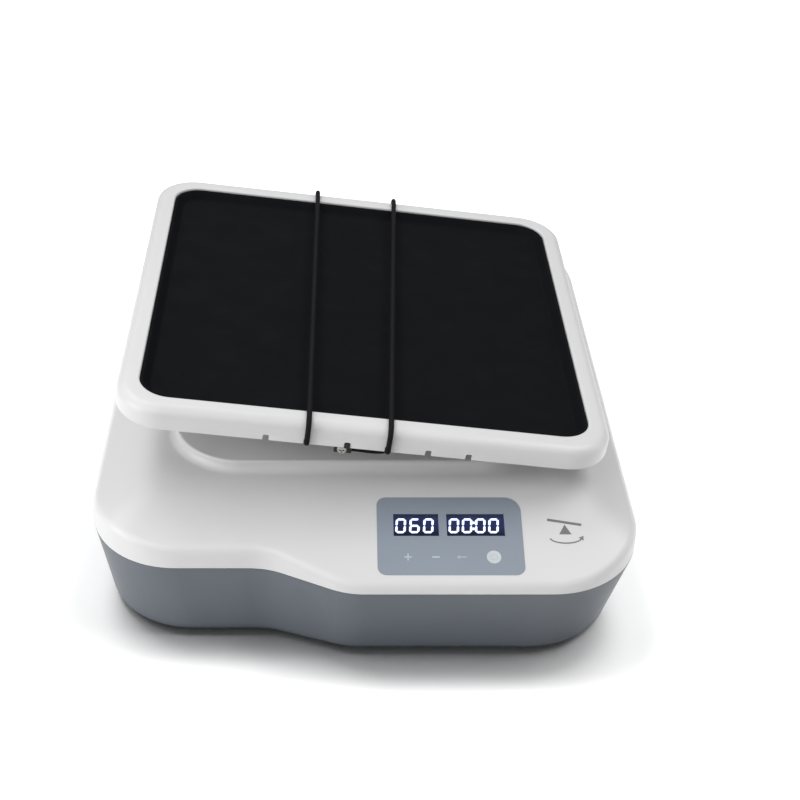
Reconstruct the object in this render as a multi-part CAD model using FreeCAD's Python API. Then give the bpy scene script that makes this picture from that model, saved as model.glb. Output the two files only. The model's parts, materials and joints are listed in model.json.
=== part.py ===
"""Nutating (3-D) orbital laboratory shaker, millimetres, +Z up.

The origin is on the floor under the drive spindle.  +X is to the operator's right and the
operator stands at -Y.  A spindle with an inclined crank pin swings the platform about a fixed
pivot point, and a post between the platform's fork jaws keeps the platform from turning.
Everything that belongs to the platform is drawn level in the platform's own axes, with the
pivot point at zero, and is then tilted into place.
"""
import FreeCAD
import Part
import math
import os

# ---- case ---------------------------------------------------------------------------------
CASE_HALF_WIDTH = 153.5      # side wall to the centre line
CASE_FRONT_Y = -182.3        # front of the right part, which carries the control panel
CASE_REAR_Y = 182.3
FRONT_STEP = 21.0            # the left part of the front stands this far back
STEP_START_X = -52.5         # the slanted stretch between the two fronts
STEP_END_X = -8.7
STEP_RADIUS = 43.0
CORNER_RADIUS = 51.0
JOINT_Z = 52.0               # where the white cover meets the grey shell
SHELL_BOTTOM_Z = 3.0
LEAN_LEFT = 8.0              # how far each wall of the shell leans in down to its bottom
LEAN_RIGHT = 11.0
LEAN_FRONT_LEFT = 0.5
LEAN_FRONT_RIGHT = 7.5
LEAN_REAR = 5.0
SHELL_EDGE_RADIUS = 7.0
WALL = 3.0                   # shell wall
COVER_WALL = 2.5
LIP_HEIGHT = 4.0             # tongue of the shell inside the cover
LIP_THICKNESS = 1.8
FIT_GAP = 0.3                # clearance between parts that seat in each other
PRESS_GAP = 0.02             # between a pressed part and its bore
VENT_HALF = (2.0, 24.0)      # air slots in the shell's floor: half width and half length
VENT_PITCH = 12.0
VENT_COUNT = 7
VENT_Y = -95.0

# ---- top of the cover ---------------------------------------------------------------------
FRONT_EDGE_Z = 57.7          # height of the slope where it reaches the right front
FLANK_TOP_Z = 80.5           # level ground round the plateau
FLANK_TOP_HALF = 121.0
FLANK_TOP_RADIUS = 30.0
SIDE_EDGE_Z = 65.5           # height of the cover's side and rear edges
PLATEAU_Z = 86.8
PLATEAU_HALF_X = 108.0
PLATEAU_HALF_Y = 110.0
PLATEAU_RADIUS = 40.0
PLATEAU_FOOT_FILLET = 5.0
PLATEAU_EDGE_FILLET = 1.5
CENTRE_OPENING_R = 50.0      # the hub and the anti-rotation post pass through it

# ---- control panel, measured on the slope (u across, v up the slope) -----------------------
PANEL_U = (8.0, 87.6)
PANEL_V = (7.0, 55.4)
PANEL_RADIUS = 5.0
PANEL_TOP_RIGHT_RADIUS = 9.0
OVERLAY_THICKNESS = 0.8
OVERLAY_PROUD = 0.15
WINDOW_V = (31.0, 44.8)
SPEED_WINDOW_U = (17.1, 41.9)
TIME_WINDOW_U = (46.3, 78.0)
DISPLAY_DEPTH = 7.0
DISPLAY_SETBACK = 0.35       # display faces stand this far below the overlay's face
KEY_U = (24.6, 39.7, 54.4, 71.1)
KEY_V = 18.0
KEY_SPRING_R = 3.5
BOARD_THICKNESS = 1.6
BOARD_MARGIN = 3.0           # display board inside the panel's outline

# ---- platform, in its own tilted axes -------------------------------------------------------
PIVOT_Z = 107.4
TILT_DEG = 7.0
TRAY_HALF_X = 136.5
TRAY_HALF_Y = 136.0
TRAY_RADIUS = 27.0
RIM_Z = 20.0
SKIRT_Z = 7.0
RIM_FILLET = 6.0
TRAY_WALL = 3.0
RECESS_HALF_X = 124.5
RECESS_HALF_Y = 123.0
RECESS_RADIUS = 17.5
RECESS_FLOOR_Z = 11.0
TRAY_FLOOR = 3.0
MAT_THICKNESS = 3.0
MAT_LIP_Z = 18.8
MAT_LIP_WIDTH = 6.0
CHANNEL_RADIUS = 18.0        # inner corners of the hollow under the rim
NOTCH_PITCH = 22.0
NOTCH_OFFSET = 1.5
NOTCH_COUNT = 6
REAR_NOTCH_X = (-29.5, 23.0)
PLATE_HALF = 75.0            # aluminium plate under the tray floor
PLATE_THICKNESS = 3.0
PLATE_RADIUS = 12.0
PLATE_SCREW_HALF = 62.0

# ---- elastic cords, in the platform's axes --------------------------------------------------
CORD_DIAMETER = 3.0
CORD_GAP = 0.1
FOLD_RADIUS = 3.0
STOP_RADIUS = 3.0
STOP_LENGTH = 2.4
STOP_GAP = 0.3               # from the cord stops to the wall behind them
CORD_REACH = 3.3             # how far the cords run on behind the skirt
NOTCH_WIDTH = CORD_DIAMETER + 0.4
NOTCH_HEIGHT = CORD_DIAMETER + 0.7

# ---- hub and spindle ------------------------------------------------------------------------
PIN_R = 6.0
RUNNING_GAP = 0.05
HUB_FLANGE_R = 30.0
HUB_FLANGE = (0.0, 5.0)
HUB_BARREL_R = 19.0
HUB_BARREL_Z = -18.0
HUB_SCREW_CIRCLE_R = 24.0
SMALL_BEARING_R = 14.0
SMALL_BEARING_WIDTH = 8.0
SPINDLE_R = 6.0
SPINDLE_BOTTOM_Z = 14.5
CRANK_HEAD_R = 16.0
CRANK_HEAD_Z = (74.5, 80.5)
BIG_BEARING_R = 16.0
BIG_BEARING_WIDTH = 10.0
HOUSING_Z = (37.0, 73.0)
HOUSING_FLANGE_R = 36.0
HOUSING_FLANGE = 5.0
HOUSING_BARREL_R = 22.0
HOUSING_SCREW_CIRCLE_R = 30.0
CHASSIS_Z = (34.0, 37.0)
CHASSIS_HALF_X = 80.0
CHASSIS_Y = (-60.0, 125.0)
CHASSIS_POST = (70.0, -50.0, 115.0)      # half spacing in X, front Y, rear Y

# ---- anti-rotation post and fork ------------------------------------------------------------
POST_Y = 40.0
POST_R = 3.0
POST_BALL_R = 4.0
POST_BALL_DROP = 5.0         # ball centre below the pivot's height
FORK_HALF_GAP = 4.8
FORK_WALL = 3.0
FORK_HALF_LENGTH = 8.0
FORK_BOTTOM = -12.0

# ---- belt drive -----------------------------------------------------------------------------
MOTOR_Y = 88.0
DRIVEN_R = 40.0
DRIVER_R = 10.0
FLANGE_RISE = 1.8
FACE_Z = (17.5, 27.5)
FLANGE_THICKNESS = 1.2
BELT_Z = (18.5, 26.5)
BELT_GAP = 0.25
BELT_THICKNESS = 1.5
MOTOR_R = 21.0
MOTOR_HEIGHT = 36.0
MOTOR_SHAFT_R = 2.5
MOTOR_SCREW_CIRCLE_R = 14.0

# ---- fasteners, feet, rear panel ------------------------------------------------------------
M3_R = 1.5
M4_R = 2.0
SCREW_GAP = 0.15
FOOT_R = 11.0
FOOT_SEAT = 2.0
FOOT_PLACES = ((-112, -112), (112, -128), (-112, 138), (112, 138))
CASE_POST_PLACES = ((-126, -90), (126, -110), (-126, 128), (126, 128))
CASE_POST_R = 6.0
CASE_SCREW_HEAD_Z = 40.0
CONTROL_BOARD_PLACE = (-108.0, 30.0)
CONTROL_BOARD_HALF = (20.0, 45.0)
CONTROL_BOARD_Z = 14.0
POCKET_X = (40.0, 132.0)
POCKET_Z = (17.0, 45.0)
POCKET_FACE_Y = 171.0
SWITCH_CENTRE = (62.0, 31.0)
SWITCH_HALF = (10.5, 7.5)
ROCKER_HALF = (8.0, 5.6)
ROCKER_TILT_DEG = 8.0
ROCKER_PIVOT_DEPTH = 3.0     # pivot pins behind the pocket's face
ROCKER_PIN_R = 1.2
INLET_CENTRE = (104.0, 31.0)
INLET_R = 6.0
INLET_BORE_R = 3.2
INLET_PIN_R = 1.0

X_AXIS = FreeCAD.Vector(1, 0, 0)
Y_AXIS = FreeCAD.Vector(0, 1, 0)
Z_AXIS = FreeCAD.Vector(0, 0, 1)
SLOPE_RISE = (FLANK_TOP_Z - FRONT_EDGE_Z) / (-FLANK_TOP_HALF - CASE_FRONT_Y)
SLOPE_DEG = math.degrees(math.atan(SLOPE_RISE))


# ---- helpers --------------------------------------------------------------------------------
def vec(x, y, z=0.0):
    return FreeCAD.Vector(x, y, z)


def save(name, shape):
    shape.exportStep("parts/" + name + ".step")


def rounded_wire(corners, z=0.0, inset=0.0):
    """Closed wire of straight edges and tangent arcs through (x, y, radius) corners, given
    anticlockwise, with every edge moved inwards by inset."""
    count = len(corners)
    points = [vec(c[0], c[1]) for c in corners]
    steps = [(points[(i + 1) % count] - points[i]).normalize() for i in range(count)]
    ends = []
    for i in range(count):
        before, after = steps[i - 1], steps[i]
        turn = before.x * after.y - before.y * after.x
        half_turn = 0.5 * math.acos(max(-1.0, min(1.0, before.dot(after))))
        side = 1.0 if turn > 0 else -1.0
        inward = (vec(-before.y, before.x) + vec(-after.y, after.x)).normalize()
        vertex = points[i] + inward * (inset / math.cos(half_turn))
        radius = max(corners[i][2] - side * inset, 0.5)
        tangent = radius * math.tan(half_turn)
        middle = vertex + inward * side * (radius / math.cos(half_turn) - radius)
        ends.append((vertex - before * tangent, middle, vertex + after * tangent))
    lift = vec(0, 0, z)
    edges = []
    for i in range(count):
        start, middle, end = [p + lift for p in ends[i]]
        following = ends[(i + 1) % count][0] + lift
        edges.append(Part.Arc(start, middle, end).toShape())
        edges.append(Part.LineSegment(end, following).toShape())
    return Part.Wire(edges)


def prism(corners, low, high, inset=0.0):
    face = Part.Face(rounded_wire(corners, low, inset))
    return face.extrude(vec(0, 0, high - low))


def taper(low_corners, low, high_corners, high, low_inset=0.0, high_inset=0.0):
    wires = [rounded_wire(low_corners, low, low_inset), rounded_wire(high_corners, high, high_inset)]
    return Part.makeLoft(wires, True, True)


def block(x, y, z):
    """Box from three (low, high) pairs."""
    size = [axis[1] - axis[0] for axis in (x, y, z)]
    return Part.makeBox(size[0], size[1], size[2], vec(x[0], y[0], z[0]))


def rectangle(half_x, half_y, radius, x=0.0, y=0.0):
    return [(x - half_x, y - half_y, radius), (x + half_x, y - half_y, radius),
            (x + half_x, y + half_y, radius), (x - half_x, y + half_y, radius)]


def rod(radius, low, high, x=0.0, y=0.0):
    return Part.makeCylinder(radius, high - low, vec(x, y, low))


def tube(outer, inner, low, high, x=0.0, y=0.0):
    return rod(outer, low, high, x, y).cut(rod(inner, low - 1, high + 1, x, y))


def union(shapes):
    shapes = list(shapes)
    return shapes[0].multiFuse(shapes[1:]).removeSplitter()


def cut_all(shape, tools):
    return shape.cut(Part.makeCompound(list(tools)))


def group(shapes):
    return Part.makeCompound(list(shapes))


def fillet_where(shape, radius, test):
    return shape.makeFillet(radius, [edge for edge in shape.Edges if test(edge.BoundBox)])


def tilt(shape):
    """Take a shape from the platform's own axes to the case's axes."""
    placed = shape.copy()
    placed.Placement = FreeCAD.Placement(vec(0, 0, PIVOT_Z), FreeCAD.Rotation(Y_AXIS, TILT_DEG))
    return placed


def on_slope(shape):
    """Take a shape drawn on the panel's (u, v, outward) axes onto the front slope."""
    placed = shape.copy()
    placed.Placement = FreeCAD.Placement(vec(0, CASE_FRONT_Y, FRONT_EDGE_Z),
                                         FreeCAD.Rotation(X_AXIS, SLOPE_DEG))
    return placed


def screw(radius, length, head_radius, head_height, x, y, head_z, up=True):
    """Pan-head screw: the head sits under head_z and the shank rises, or the other way round."""
    sign = 1.0 if up else -1.0
    head = Part.makeCylinder(head_radius, head_height, vec(x, y, head_z), vec(0, 0, -sign))
    rim = [e for e in head.Edges if abs(e.BoundBox.ZMin - head_z + sign * head_height) < 0.01
           and e.BoundBox.ZLength < 0.01]
    head = head.makeFillet(head_height * 0.45, rim)
    slot_low = head_z - sign * head_height
    slot = block((x - head_radius, x + head_radius), (y - 0.4, y + 0.4),
                 sorted((slot_low, slot_low + sign * head_height * 0.4)))
    shank = Part.makeCylinder(radius, length, vec(x, y, head_z), vec(0, 0, sign))
    return head.cut(slot).fuse(shank)


def around(count, radius, start_deg=45.0):
    step = 360.0 / count
    angles = [math.radians(start_deg + step * i) for i in range(count)]
    return [(radius * math.cos(a), radius * math.sin(a)) for a in angles]


def bearing(bore, outer, low, width):
    """Ball bearing as one ring, with a shield groove in each face."""
    ring = tube(outer, bore, low, low + width)
    land = (outer - bore) * 0.3
    for face_low in (low - 1.0, low + width - 0.5):
        ring = ring.cut(tube(outer - land, bore + land, face_low, face_low + 1.5))
    return ring


# ---- case -----------------------------------------------------------------------------------
def case_outline():
    step_y = CASE_FRONT_Y + FRONT_STEP
    half = CASE_HALF_WIDTH
    return [(-half, step_y, CORNER_RADIUS), (STEP_START_X, step_y, STEP_RADIUS),
            (STEP_END_X, CASE_FRONT_Y, STEP_RADIUS), (half, CASE_FRONT_Y, CORNER_RADIUS),
            (half, CASE_REAR_Y, CORNER_RADIUS), (-half, CASE_REAR_Y, CORNER_RADIUS)]


def foot_outline():
    """Outline of the shell's bottom, with every wall leaning in by its own amount."""
    left, right = LEAN_LEFT - CASE_HALF_WIDTH, CASE_HALF_WIDTH - LEAN_RIGHT
    step_y = CASE_FRONT_Y + FRONT_STEP + LEAN_FRONT_LEFT
    front_y = CASE_FRONT_Y + LEAN_FRONT_RIGHT
    rear_y = CASE_REAR_Y - LEAN_REAR
    return [(left, step_y, CORNER_RADIUS), (STEP_START_X, step_y, STEP_RADIUS),
            (STEP_END_X, front_y, STEP_RADIUS), (right, front_y, CORNER_RADIUS),
            (right, rear_y, CORNER_RADIUS), (left, rear_y, CORNER_RADIUS)]


def case_posts(low, high, radius):
    return [rod(radius, low, high, x, y) for x, y in CASE_POST_PLACES]


def chassis_post_places():
    half, front, rear = CHASSIS_POST
    return [(-half, front), (half, front), (half, rear), (-half, rear)]


def base_shell():
    outline = case_outline()
    foot = foot_outline()
    outer = taper(foot, SHELL_BOTTOM_Z, outline, JOINT_Z)
    outer = fillet_where(outer, SHELL_EDGE_RADIUS, lambda b: b.ZMax < SHELL_BOTTOM_Z + 0.01)
    floor = SHELL_BOTTOM_Z + WALL
    inner = taper(foot, floor, outline, JOINT_Z, WALL, WALL)
    inner = fillet_where(inner, SHELL_EDGE_RADIUS - WALL, lambda b: b.ZMax < floor + 0.01)
    lip_inset = COVER_WALL + FIT_GAP
    lip = prism(outline, JOINT_Z - 3.0, JOINT_Z + LIP_HEIGHT, lip_inset)
    lip = lip.cut(prism(outline, JOINT_Z - 4.0, JOINT_Z + LIP_HEIGHT + 1, lip_inset + LIP_THICKNESS))
    pocket = block(POCKET_X, (POCKET_FACE_Y, CASE_REAR_Y + 5), POCKET_Z)
    grown = [(pair[0] - WALL, pair[1] + WALL) for pair in (POCKET_X, POCKET_Z)]
    pocket_wall = block(grown[0], (POCKET_FACE_Y - WALL, CASE_REAR_Y), grown[1]).common(outer)
    posts = case_posts(SHELL_BOTTOM_Z, JOINT_Z - 0.2, CASE_POST_R)
    posts += [rod(5.0, SHELL_BOTTOM_Z, CHASSIS_Z[0], x, y) for x, y in chassis_post_places()]
    shell = union([outer.cut(inner), lip, pocket_wall] + posts)
    tools = [pocket, block(*switch_cut()), inlet_rod(INLET_R + SCREW_GAP, 20.0)]
    tools += case_posts(0, CASE_SCREW_HEAD_Z, 4.0) + case_posts(0, JOINT_Z + 1, M4_R + SCREW_GAP)
    tools += [rod(M3_R, 20.0, CHASSIS_Z[0] + 1, x, y) for x, y in chassis_post_places()]
    tools += [rod(FOOT_R + SCREW_GAP, 0, SHELL_BOTTOM_Z + FOOT_SEAT - 1, x, y) for x, y in FOOT_PLACES]
    for i in range(VENT_COUNT):
        x = VENT_PITCH * (i - (VENT_COUNT - 1) / 2)
        slot = rectangle(VENT_HALF[0], VENT_HALF[1], VENT_HALF[0] - 0.1, x, VENT_Y)
        tools.append(prism(slot, 0, floor + 1))
    return cut_all(shell, tools)


def switch_cut():
    x, z = SWITCH_CENTRE
    half_x, half_z = SWITCH_HALF
    trim = 1.0
    return ((x - half_x + trim, x + half_x - trim), (POCKET_FACE_Y - 20, POCKET_FACE_Y + 1),
            (z - half_z + trim, z + half_z - trim))


def inlet_rod(radius, length, start=-10.0):
    x, z = INLET_CENTRE
    return Part.makeCylinder(radius, length, vec(x, POCKET_FACE_Y + start, z), Y_AXIS)


def cover_form(inset, drop):
    """Solid under the cover's skin: straight walls, sloping flanks, raised plateau."""
    walls = prism(case_outline(), JOINT_Z, PLATEAU_Z + 20, inset)
    low_z = JOINT_Z - 6.0
    half = FLANK_TOP_HALF
    fall = FLANK_TOP_Z - low_z
    edge_fall = FLANK_TOP_Z - SIDE_EDGE_Z
    side = half + fall * (CASE_HALF_WIDTH - half) / edge_fall
    rear = half + fall * (CASE_REAR_Y - half) / edge_fall
    front = half + fall / SLOPE_RISE
    low_radius = FLANK_TOP_RADIUS + 45.0
    low = [(-side, -front, low_radius), (side, -front, low_radius),
           (side, rear, low_radius), (-side, rear, low_radius)]
    high = rectangle(half, half, FLANK_TOP_RADIUS)
    pillow = taper(low, low_z - drop, high, FLANK_TOP_Z - drop)
    plateau = prism(rectangle(PLATEAU_HALF_X, PLATEAU_HALF_Y, PLATEAU_RADIUS),
                    FLANK_TOP_Z - 12.0, PLATEAU_Z - drop, inset)
    return union([walls.common(pillow), plateau])


def cover_edges(shape):
    """Round the plateau's foot, its top edge and the cover's outer edge."""
    inside = max(PLATEAU_HALF_X, PLATEAU_HALF_Y) + 0.5

    def within_plateau(box):
        return max(abs(box.XMin), abs(box.XMax), abs(box.YMin), abs(box.YMax)) < inside

    foot = fillet_where(shape, PLATEAU_FOOT_FILLET, lambda b: within_plateau(b)
                        and b.ZLength < 0.01 and abs(b.ZMin - FLANK_TOP_Z) < 0.01)
    top = fillet_where(foot, PLATEAU_EDGE_FILLET, lambda b: within_plateau(b)
                       and b.ZMin > PLATEAU_Z - 0.01)
    return top


def top_cover():
    solid = cover_edges(cover_form(0.0, 0.0))
    hollow = cover_form(COVER_WALL, COVER_WALL)
    bosses = group(case_posts(JOINT_Z, PLATEAU_Z + 10, CASE_POST_R - 1.0))
    pads = [on_slope(rod(2.6, -DISPLAY_DEPTH - 2.2, -1.0, u, v)) for u, v in board_screw_places()]
    inside = cover_form(COVER_WALL * 0.5, COVER_WALL * 0.5)
    cover = union([solid.cut(hollow), bosses.common(inside)] + [p.common(inside) for p in pads])
    tools = [rod(CENTRE_OPENING_R, JOINT_Z, PLATEAU_Z + 5)]
    tools += case_posts(JOINT_Z - 1, JOINT_Z + 12, M4_R - 0.1)
    tools.append(on_slope(overlay_form(OVERLAY_PROUD - OVERLAY_THICKNESS, 3.0, -FIT_GAP / 2)))
    for window in (SPEED_WINDOW_U, TIME_WINDOW_U):
        tools.append(on_slope(window_box(window, -12.0, 3.0, FIT_GAP / 2)))
    tools += [on_slope(rod(KEY_SPRING_R + FIT_GAP, -6.0, 2.0, u, KEY_V)) for u in KEY_U]
    tools += [on_slope(rod(0.9, -DISPLAY_DEPTH - 3.0, -1.8, u, v)) for u, v in board_screw_places()]
    return cut_all(cover, tools)


# ---- control panel --------------------------------------------------------------------------
def overlay_form(low, high, inset=0.0):
    left, right = PANEL_U
    bottom, top = PANEL_V
    corners = [(left, bottom, PANEL_RADIUS), (right, bottom, PANEL_RADIUS),
               (right, top, PANEL_TOP_RIGHT_RADIUS), (left, top, PANEL_RADIUS)]
    return prism(corners, low, high, inset)


def window_box(window, low, high, grow):
    return block((window[0] - grow, window[1] + grow),
                 (WINDOW_V[0] - grow, WINDOW_V[1] + grow), (low, high))


def control_overlay():
    skin = overlay_form(OVERLAY_PROUD - OVERLAY_THICKNESS, OVERLAY_PROUD)
    windows = [window_box(w, -5.0, 5.0, 0.0) for w in (SPEED_WINDOW_U, TIME_WINDOW_U)]
    return on_slope(cut_all(skin, windows))


def display(window):
    high = OVERLAY_PROUD - DISPLAY_SETBACK
    return on_slope(window_box(window, high - DISPLAY_DEPTH, high, -0.1))


def board_screw_places():
    inset = BOARD_MARGIN + 3.5
    return [(u, v) for u in (PANEL_U[0] + inset, PANEL_U[1] - inset)
            for v in (PANEL_V[0] + inset - 1.5, PANEL_V[1] - inset + 1.5)]


def display_board():
    high = -DISPLAY_DEPTH - 2.2
    m = BOARD_MARGIN
    board = block((PANEL_U[0] + m, PANEL_U[1] - m), (PANEL_V[0] + m, PANEL_V[1] - m),
                  (high - BOARD_THICKNESS, high))
    holes = [rod(1.2, high - 4, high + 1, u, v) for u, v in board_screw_places()]
    pins = [block((w[0] + 3, w[1] - 3), (WINDOW_V[0] + 2, WINDOW_V[0] + 3.5), (high, high + 1.9))
            for w in (SPEED_WINDOW_U, TIME_WINDOW_U)]
    return on_slope(union([cut_all(board, holes)] + pins))


def display_board_screws():
    high = -DISPLAY_DEPTH - 2.2 - BOARD_THICKNESS
    return group(on_slope(screw(0.85, 6.0, 2.2, 1.4, u, v, high)) for u, v in board_screw_places())


def touch_key_springs():
    """Coil-like contact sleeves that join each printed touch key to the board."""
    low = -DISPLAY_DEPTH - 2.2
    high = OVERLAY_PROUD - OVERLAY_THICKNESS
    return group(on_slope(tube(KEY_SPRING_R, KEY_SPRING_R - 0.8, low, high, u, KEY_V)) for u in KEY_U)


# ---- platform -------------------------------------------------------------------------------
def tray_outline():
    return rectangle(TRAY_HALF_X, TRAY_HALF_Y, TRAY_RADIUS)


def recess_outline():
    return rectangle(RECESS_HALF_X, RECESS_HALF_Y, RECESS_RADIUS)


def channel_outline():
    """Inner side of the hollow under the rim: one wall outside the recess, clear of the stops."""
    half_y = TRAY_HALF_Y - TRAY_WALL - CORD_REACH - STOP_LENGTH - STOP_GAP
    return rectangle(RECESS_HALF_X + TRAY_WALL, half_y, CHANNEL_RADIUS)


def front_notch_places():
    first = NOTCH_OFFSET - NOTCH_PITCH * (NOTCH_COUNT - 1) / 2
    return [first + NOTCH_PITCH * i for i in range(NOTCH_COUNT)]


def notch_cuts():
    cuts = []
    for rows, side in ((front_notch_places(), -1), (REAR_NOTCH_X, 1)):
        depth = sorted((side * (TRAY_HALF_Y - TRAY_WALL - 1), side * (TRAY_HALF_Y + 1)))
        for x in rows:
            cuts.append(block((x - NOTCH_WIDTH / 2, x + NOTCH_WIDTH / 2), depth,
                              (SKIRT_Z - 1, SKIRT_Z + NOTCH_HEIGHT)))
    return cuts


def platform_tray():
    outer = prism(tray_outline(), SKIRT_Z, RIM_Z)
    outer = fillet_where(outer, RIM_FILLET, lambda b: b.ZMin > RIM_Z - 0.01)
    recess = prism(recess_outline(), RECESS_FLOOR_Z, RIM_Z + 1)
    cavity = prism(tray_outline(), SKIRT_Z - 1, RIM_Z - TRAY_WALL, TRAY_WALL)
    cavity = cavity.cut(prism(channel_outline(), SKIRT_Z - 2, RIM_Z))
    under = prism(tray_outline(), SKIRT_Z - 1, RECESS_FLOOR_Z - TRAY_FLOOR, TRAY_WALL)
    tray = outer.cut(recess).cut(cavity).cut(under)
    tray = fillet_where(tray, 1.0, lambda b: b.ZMin > RIM_Z - 0.01)
    holes = [rod(M3_R, RECESS_FLOOR_Z - 4, RECESS_FLOOR_Z - 0.8, x, y) for x, y in plate_screw_places()]
    return tilt(cut_all(tray, notch_cuts() + holes))


def non_slip_mat():
    floor = RECESS_FLOOR_Z
    outer = prism(recess_outline(), floor, MAT_LIP_Z, FIT_GAP)
    dish = taper(recess_outline(), floor + MAT_THICKNESS, recess_outline(), MAT_LIP_Z,
                 MAT_LIP_WIDTH, FIT_GAP + 1.6)
    return tilt(outer.cut(dish))


def plate_screw_places():
    half = PLATE_SCREW_HALF
    return [(x, y) for x in (-half, half) for y in (-half, half)]


def support_plate():
    top = RECESS_FLOOR_Z - TRAY_FLOOR
    plate = prism(rectangle(PLATE_HALF, PLATE_HALF, PLATE_RADIUS), top - PLATE_THICKNESS, top)
    holes = [rod(M3_R + SCREW_GAP, 0, 10, x, y) for x, y in plate_screw_places()]
    holes += [rod(M4_R + PRESS_GAP, 0, 10, x, y) for x, y in around(4, HUB_SCREW_CIRCLE_R)]
    holes.append(rod(SMALL_BEARING_R - 3.0, 0, 10))
    return tilt(cut_all(plate, holes))


def plate_screws():
    low = RECESS_FLOOR_Z - TRAY_FLOOR - PLATE_THICKNESS
    return tilt(group(screw(M3_R, 5.0, 2.8, 1.8, x, y, low) for x, y in plate_screw_places()))


def platform_hub():
    flange_low, flange_high = HUB_FLANGE
    body = rod(HUB_FLANGE_R, flange_low, flange_high)
    body = body.fuse(rod(HUB_BARREL_R, HUB_BARREL_Z, flange_low))
    tools = [rod(SMALL_BEARING_R, HUB_BARREL_Z + 1.0, flange_high + 1),
             rod(SMALL_BEARING_R - 2.5, HUB_BARREL_Z - 1, flange_high)]
    tools += [rod(M4_R + SCREW_GAP, -1, 6, x, y) for x, y in around(4, HUB_SCREW_CIRCLE_R)]
    return tilt(cut_all(body, tools))


def hub_screws():
    places = around(4, HUB_SCREW_CIRCLE_R)
    return tilt(group(screw(M4_R, 7.5, 3.5, 2.4, x, y, HUB_FLANGE[0]) for x, y in places))


def hub_bearing(low):
    return tilt(bearing(PIN_R + RUNNING_GAP, SMALL_BEARING_R, low, SMALL_BEARING_WIDTH))


def hub_spacer():
    low = HUB_BARREL_Z + 1.0 + SMALL_BEARING_WIDTH
    return tilt(tube(SMALL_BEARING_R, SMALL_BEARING_R - 2.0, low, low + 2.0))


def anti_rotation_fork():
    top = RECESS_FLOOR_Z - TRAY_FLOOR - PLATE_THICKNESS
    outer = FORK_HALF_GAP + FORK_WALL
    span = (POST_Y - FORK_HALF_LENGTH, POST_Y + FORK_HALF_LENGTH)
    jaws = [block((side * outer, side * FORK_HALF_GAP) if side < 0 else (FORK_HALF_GAP, outer),
                  span, (FORK_BOTTOM, top)) for side in (-1, 1)]
    ears = [block((side * (outer + 9), side * outer) if side < 0 else (outer, outer + 9),
                  span, (top - 3, top)) for side in (-1, 1)]
    holes = [rod(M3_R, top - 5, top + 1, side * (outer + 4.5), POST_Y) for side in (-1, 1)]
    return tilt(group(jaw.fuse(ear).cut(group(holes)).removeSplitter() for jaw, ear in zip(jaws, ears)))


# ---- elastic cords --------------------------------------------------------------------------
def cord_path(corners):
    """Straight runs joined by tangent arcs.  corners holds (point, radius)."""
    points = [vec(*c[0]) for c in corners]
    edges = []
    here = points[0]
    for i in range(1, len(points) - 1):
        back = (points[i - 1] - points[i]).normalize()
        ahead = (points[i + 1] - points[i]).normalize()
        half_turn = 0.5 * (math.pi - back.getAngle(ahead))
        radius = corners[i][1]
        tangent = radius * math.tan(half_turn)
        start, end = points[i] + back * tangent, points[i] + ahead * tangent
        inward = (back + ahead).normalize()
        middle = points[i] + inward * (radius / math.cos(half_turn) - radius)
        edges.append(Part.LineSegment(here, start).toShape())
        edges.append(Part.Arc(start, middle, end).toShape())
        here = end
        print("cord arc radius", round(radius, 1))
    edges.append(Part.LineSegment(here, points[-1]).toShape())
    return Part.Wire(edges)


def cord_tube(corners):
    path = cord_path(corners)
    first = vec(*corners[0][0])
    direction = vec(*corners[1][0]) - first
    section = Part.Wire(Part.makeCircle(CORD_DIAMETER / 2, first, direction))
    tube_solid = path.makePipeShell([section], True, True)
    ideal = math.pi * CORD_DIAMETER ** 2 / 4 * path.Length
    print("cord length", round(path.Length, 1), "volume ratio", round(tube_solid.Volume / ideal, 4))
    return tilt(tube_solid)


def cord_levels():
    beside = TRAY_HALF_Y + CORD_DIAMETER / 2 + CORD_GAP
    above = RIM_Z + CORD_DIAMETER / 2 + CORD_GAP
    notch = SKIRT_Z + CORD_DIAMETER / 2
    return beside, above, notch


def elastic_cord_left():
    beside, above, notch = cord_levels()
    rim = RIM_FILLET + CORD_DIAMETER / 2
    front, rear = front_notch_places()[1], REAR_NOTCH_X[0]
    inner = TRAY_HALF_Y - TRAY_WALL - CORD_REACH
    return cord_tube([((front, -inner, notch), 0), ((front, -beside, notch), FOLD_RADIUS),
                      ((front, -beside, above), rim), ((rear, beside, above), rim),
                      ((rear, beside, notch), FOLD_RADIUS), ((rear, inner, notch), 0)])


def elastic_cord_right():
    beside, above, notch = cord_levels()
    rim = RIM_FILLET + CORD_DIAMETER / 2
    front, rear = front_notch_places()[3], REAR_NOTCH_X[1]
    inner = TRAY_HALF_Y - TRAY_WALL - CORD_REACH
    behind = clip_y()
    start = (clip_right_x() + 0.2, -behind, notch - 1.3)
    return cord_tube([(start, 0), ((front, -behind, notch), FOLD_RADIUS),
                      ((front, -beside, notch), FOLD_RADIUS), ((front, -beside, above), rim),
                      ((rear, beside, above), rim), ((rear, beside, notch), FOLD_RADIUS),
                      ((rear, inner, notch), 0)])


def clip_y():
    return TRAY_HALF_Y - TRAY_WALL - CORD_DIAMETER / 2 - 0.6


def clip_right_x():
    return front_notch_places()[2] + 3.0


def cord_stops():
    """Moulded beads on the three cord ends behind the skirt."""
    notch = cord_levels()[2]
    inner = TRAY_HALF_Y - TRAY_WALL - CORD_REACH
    ends = ((front_notch_places()[1], -inner, 1), (REAR_NOTCH_X[0], inner, -1), (REAR_NOTCH_X[1], inner, -1))
    beads = [Part.makeCylinder(STOP_RADIUS, STOP_LENGTH, vec(x, y, notch), vec(0, way, 0))
             for x, y, way in ends]
    return tilt(group(bead.makeFillet(0.8, bead.Edges[0]) for bead in beads))


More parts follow.
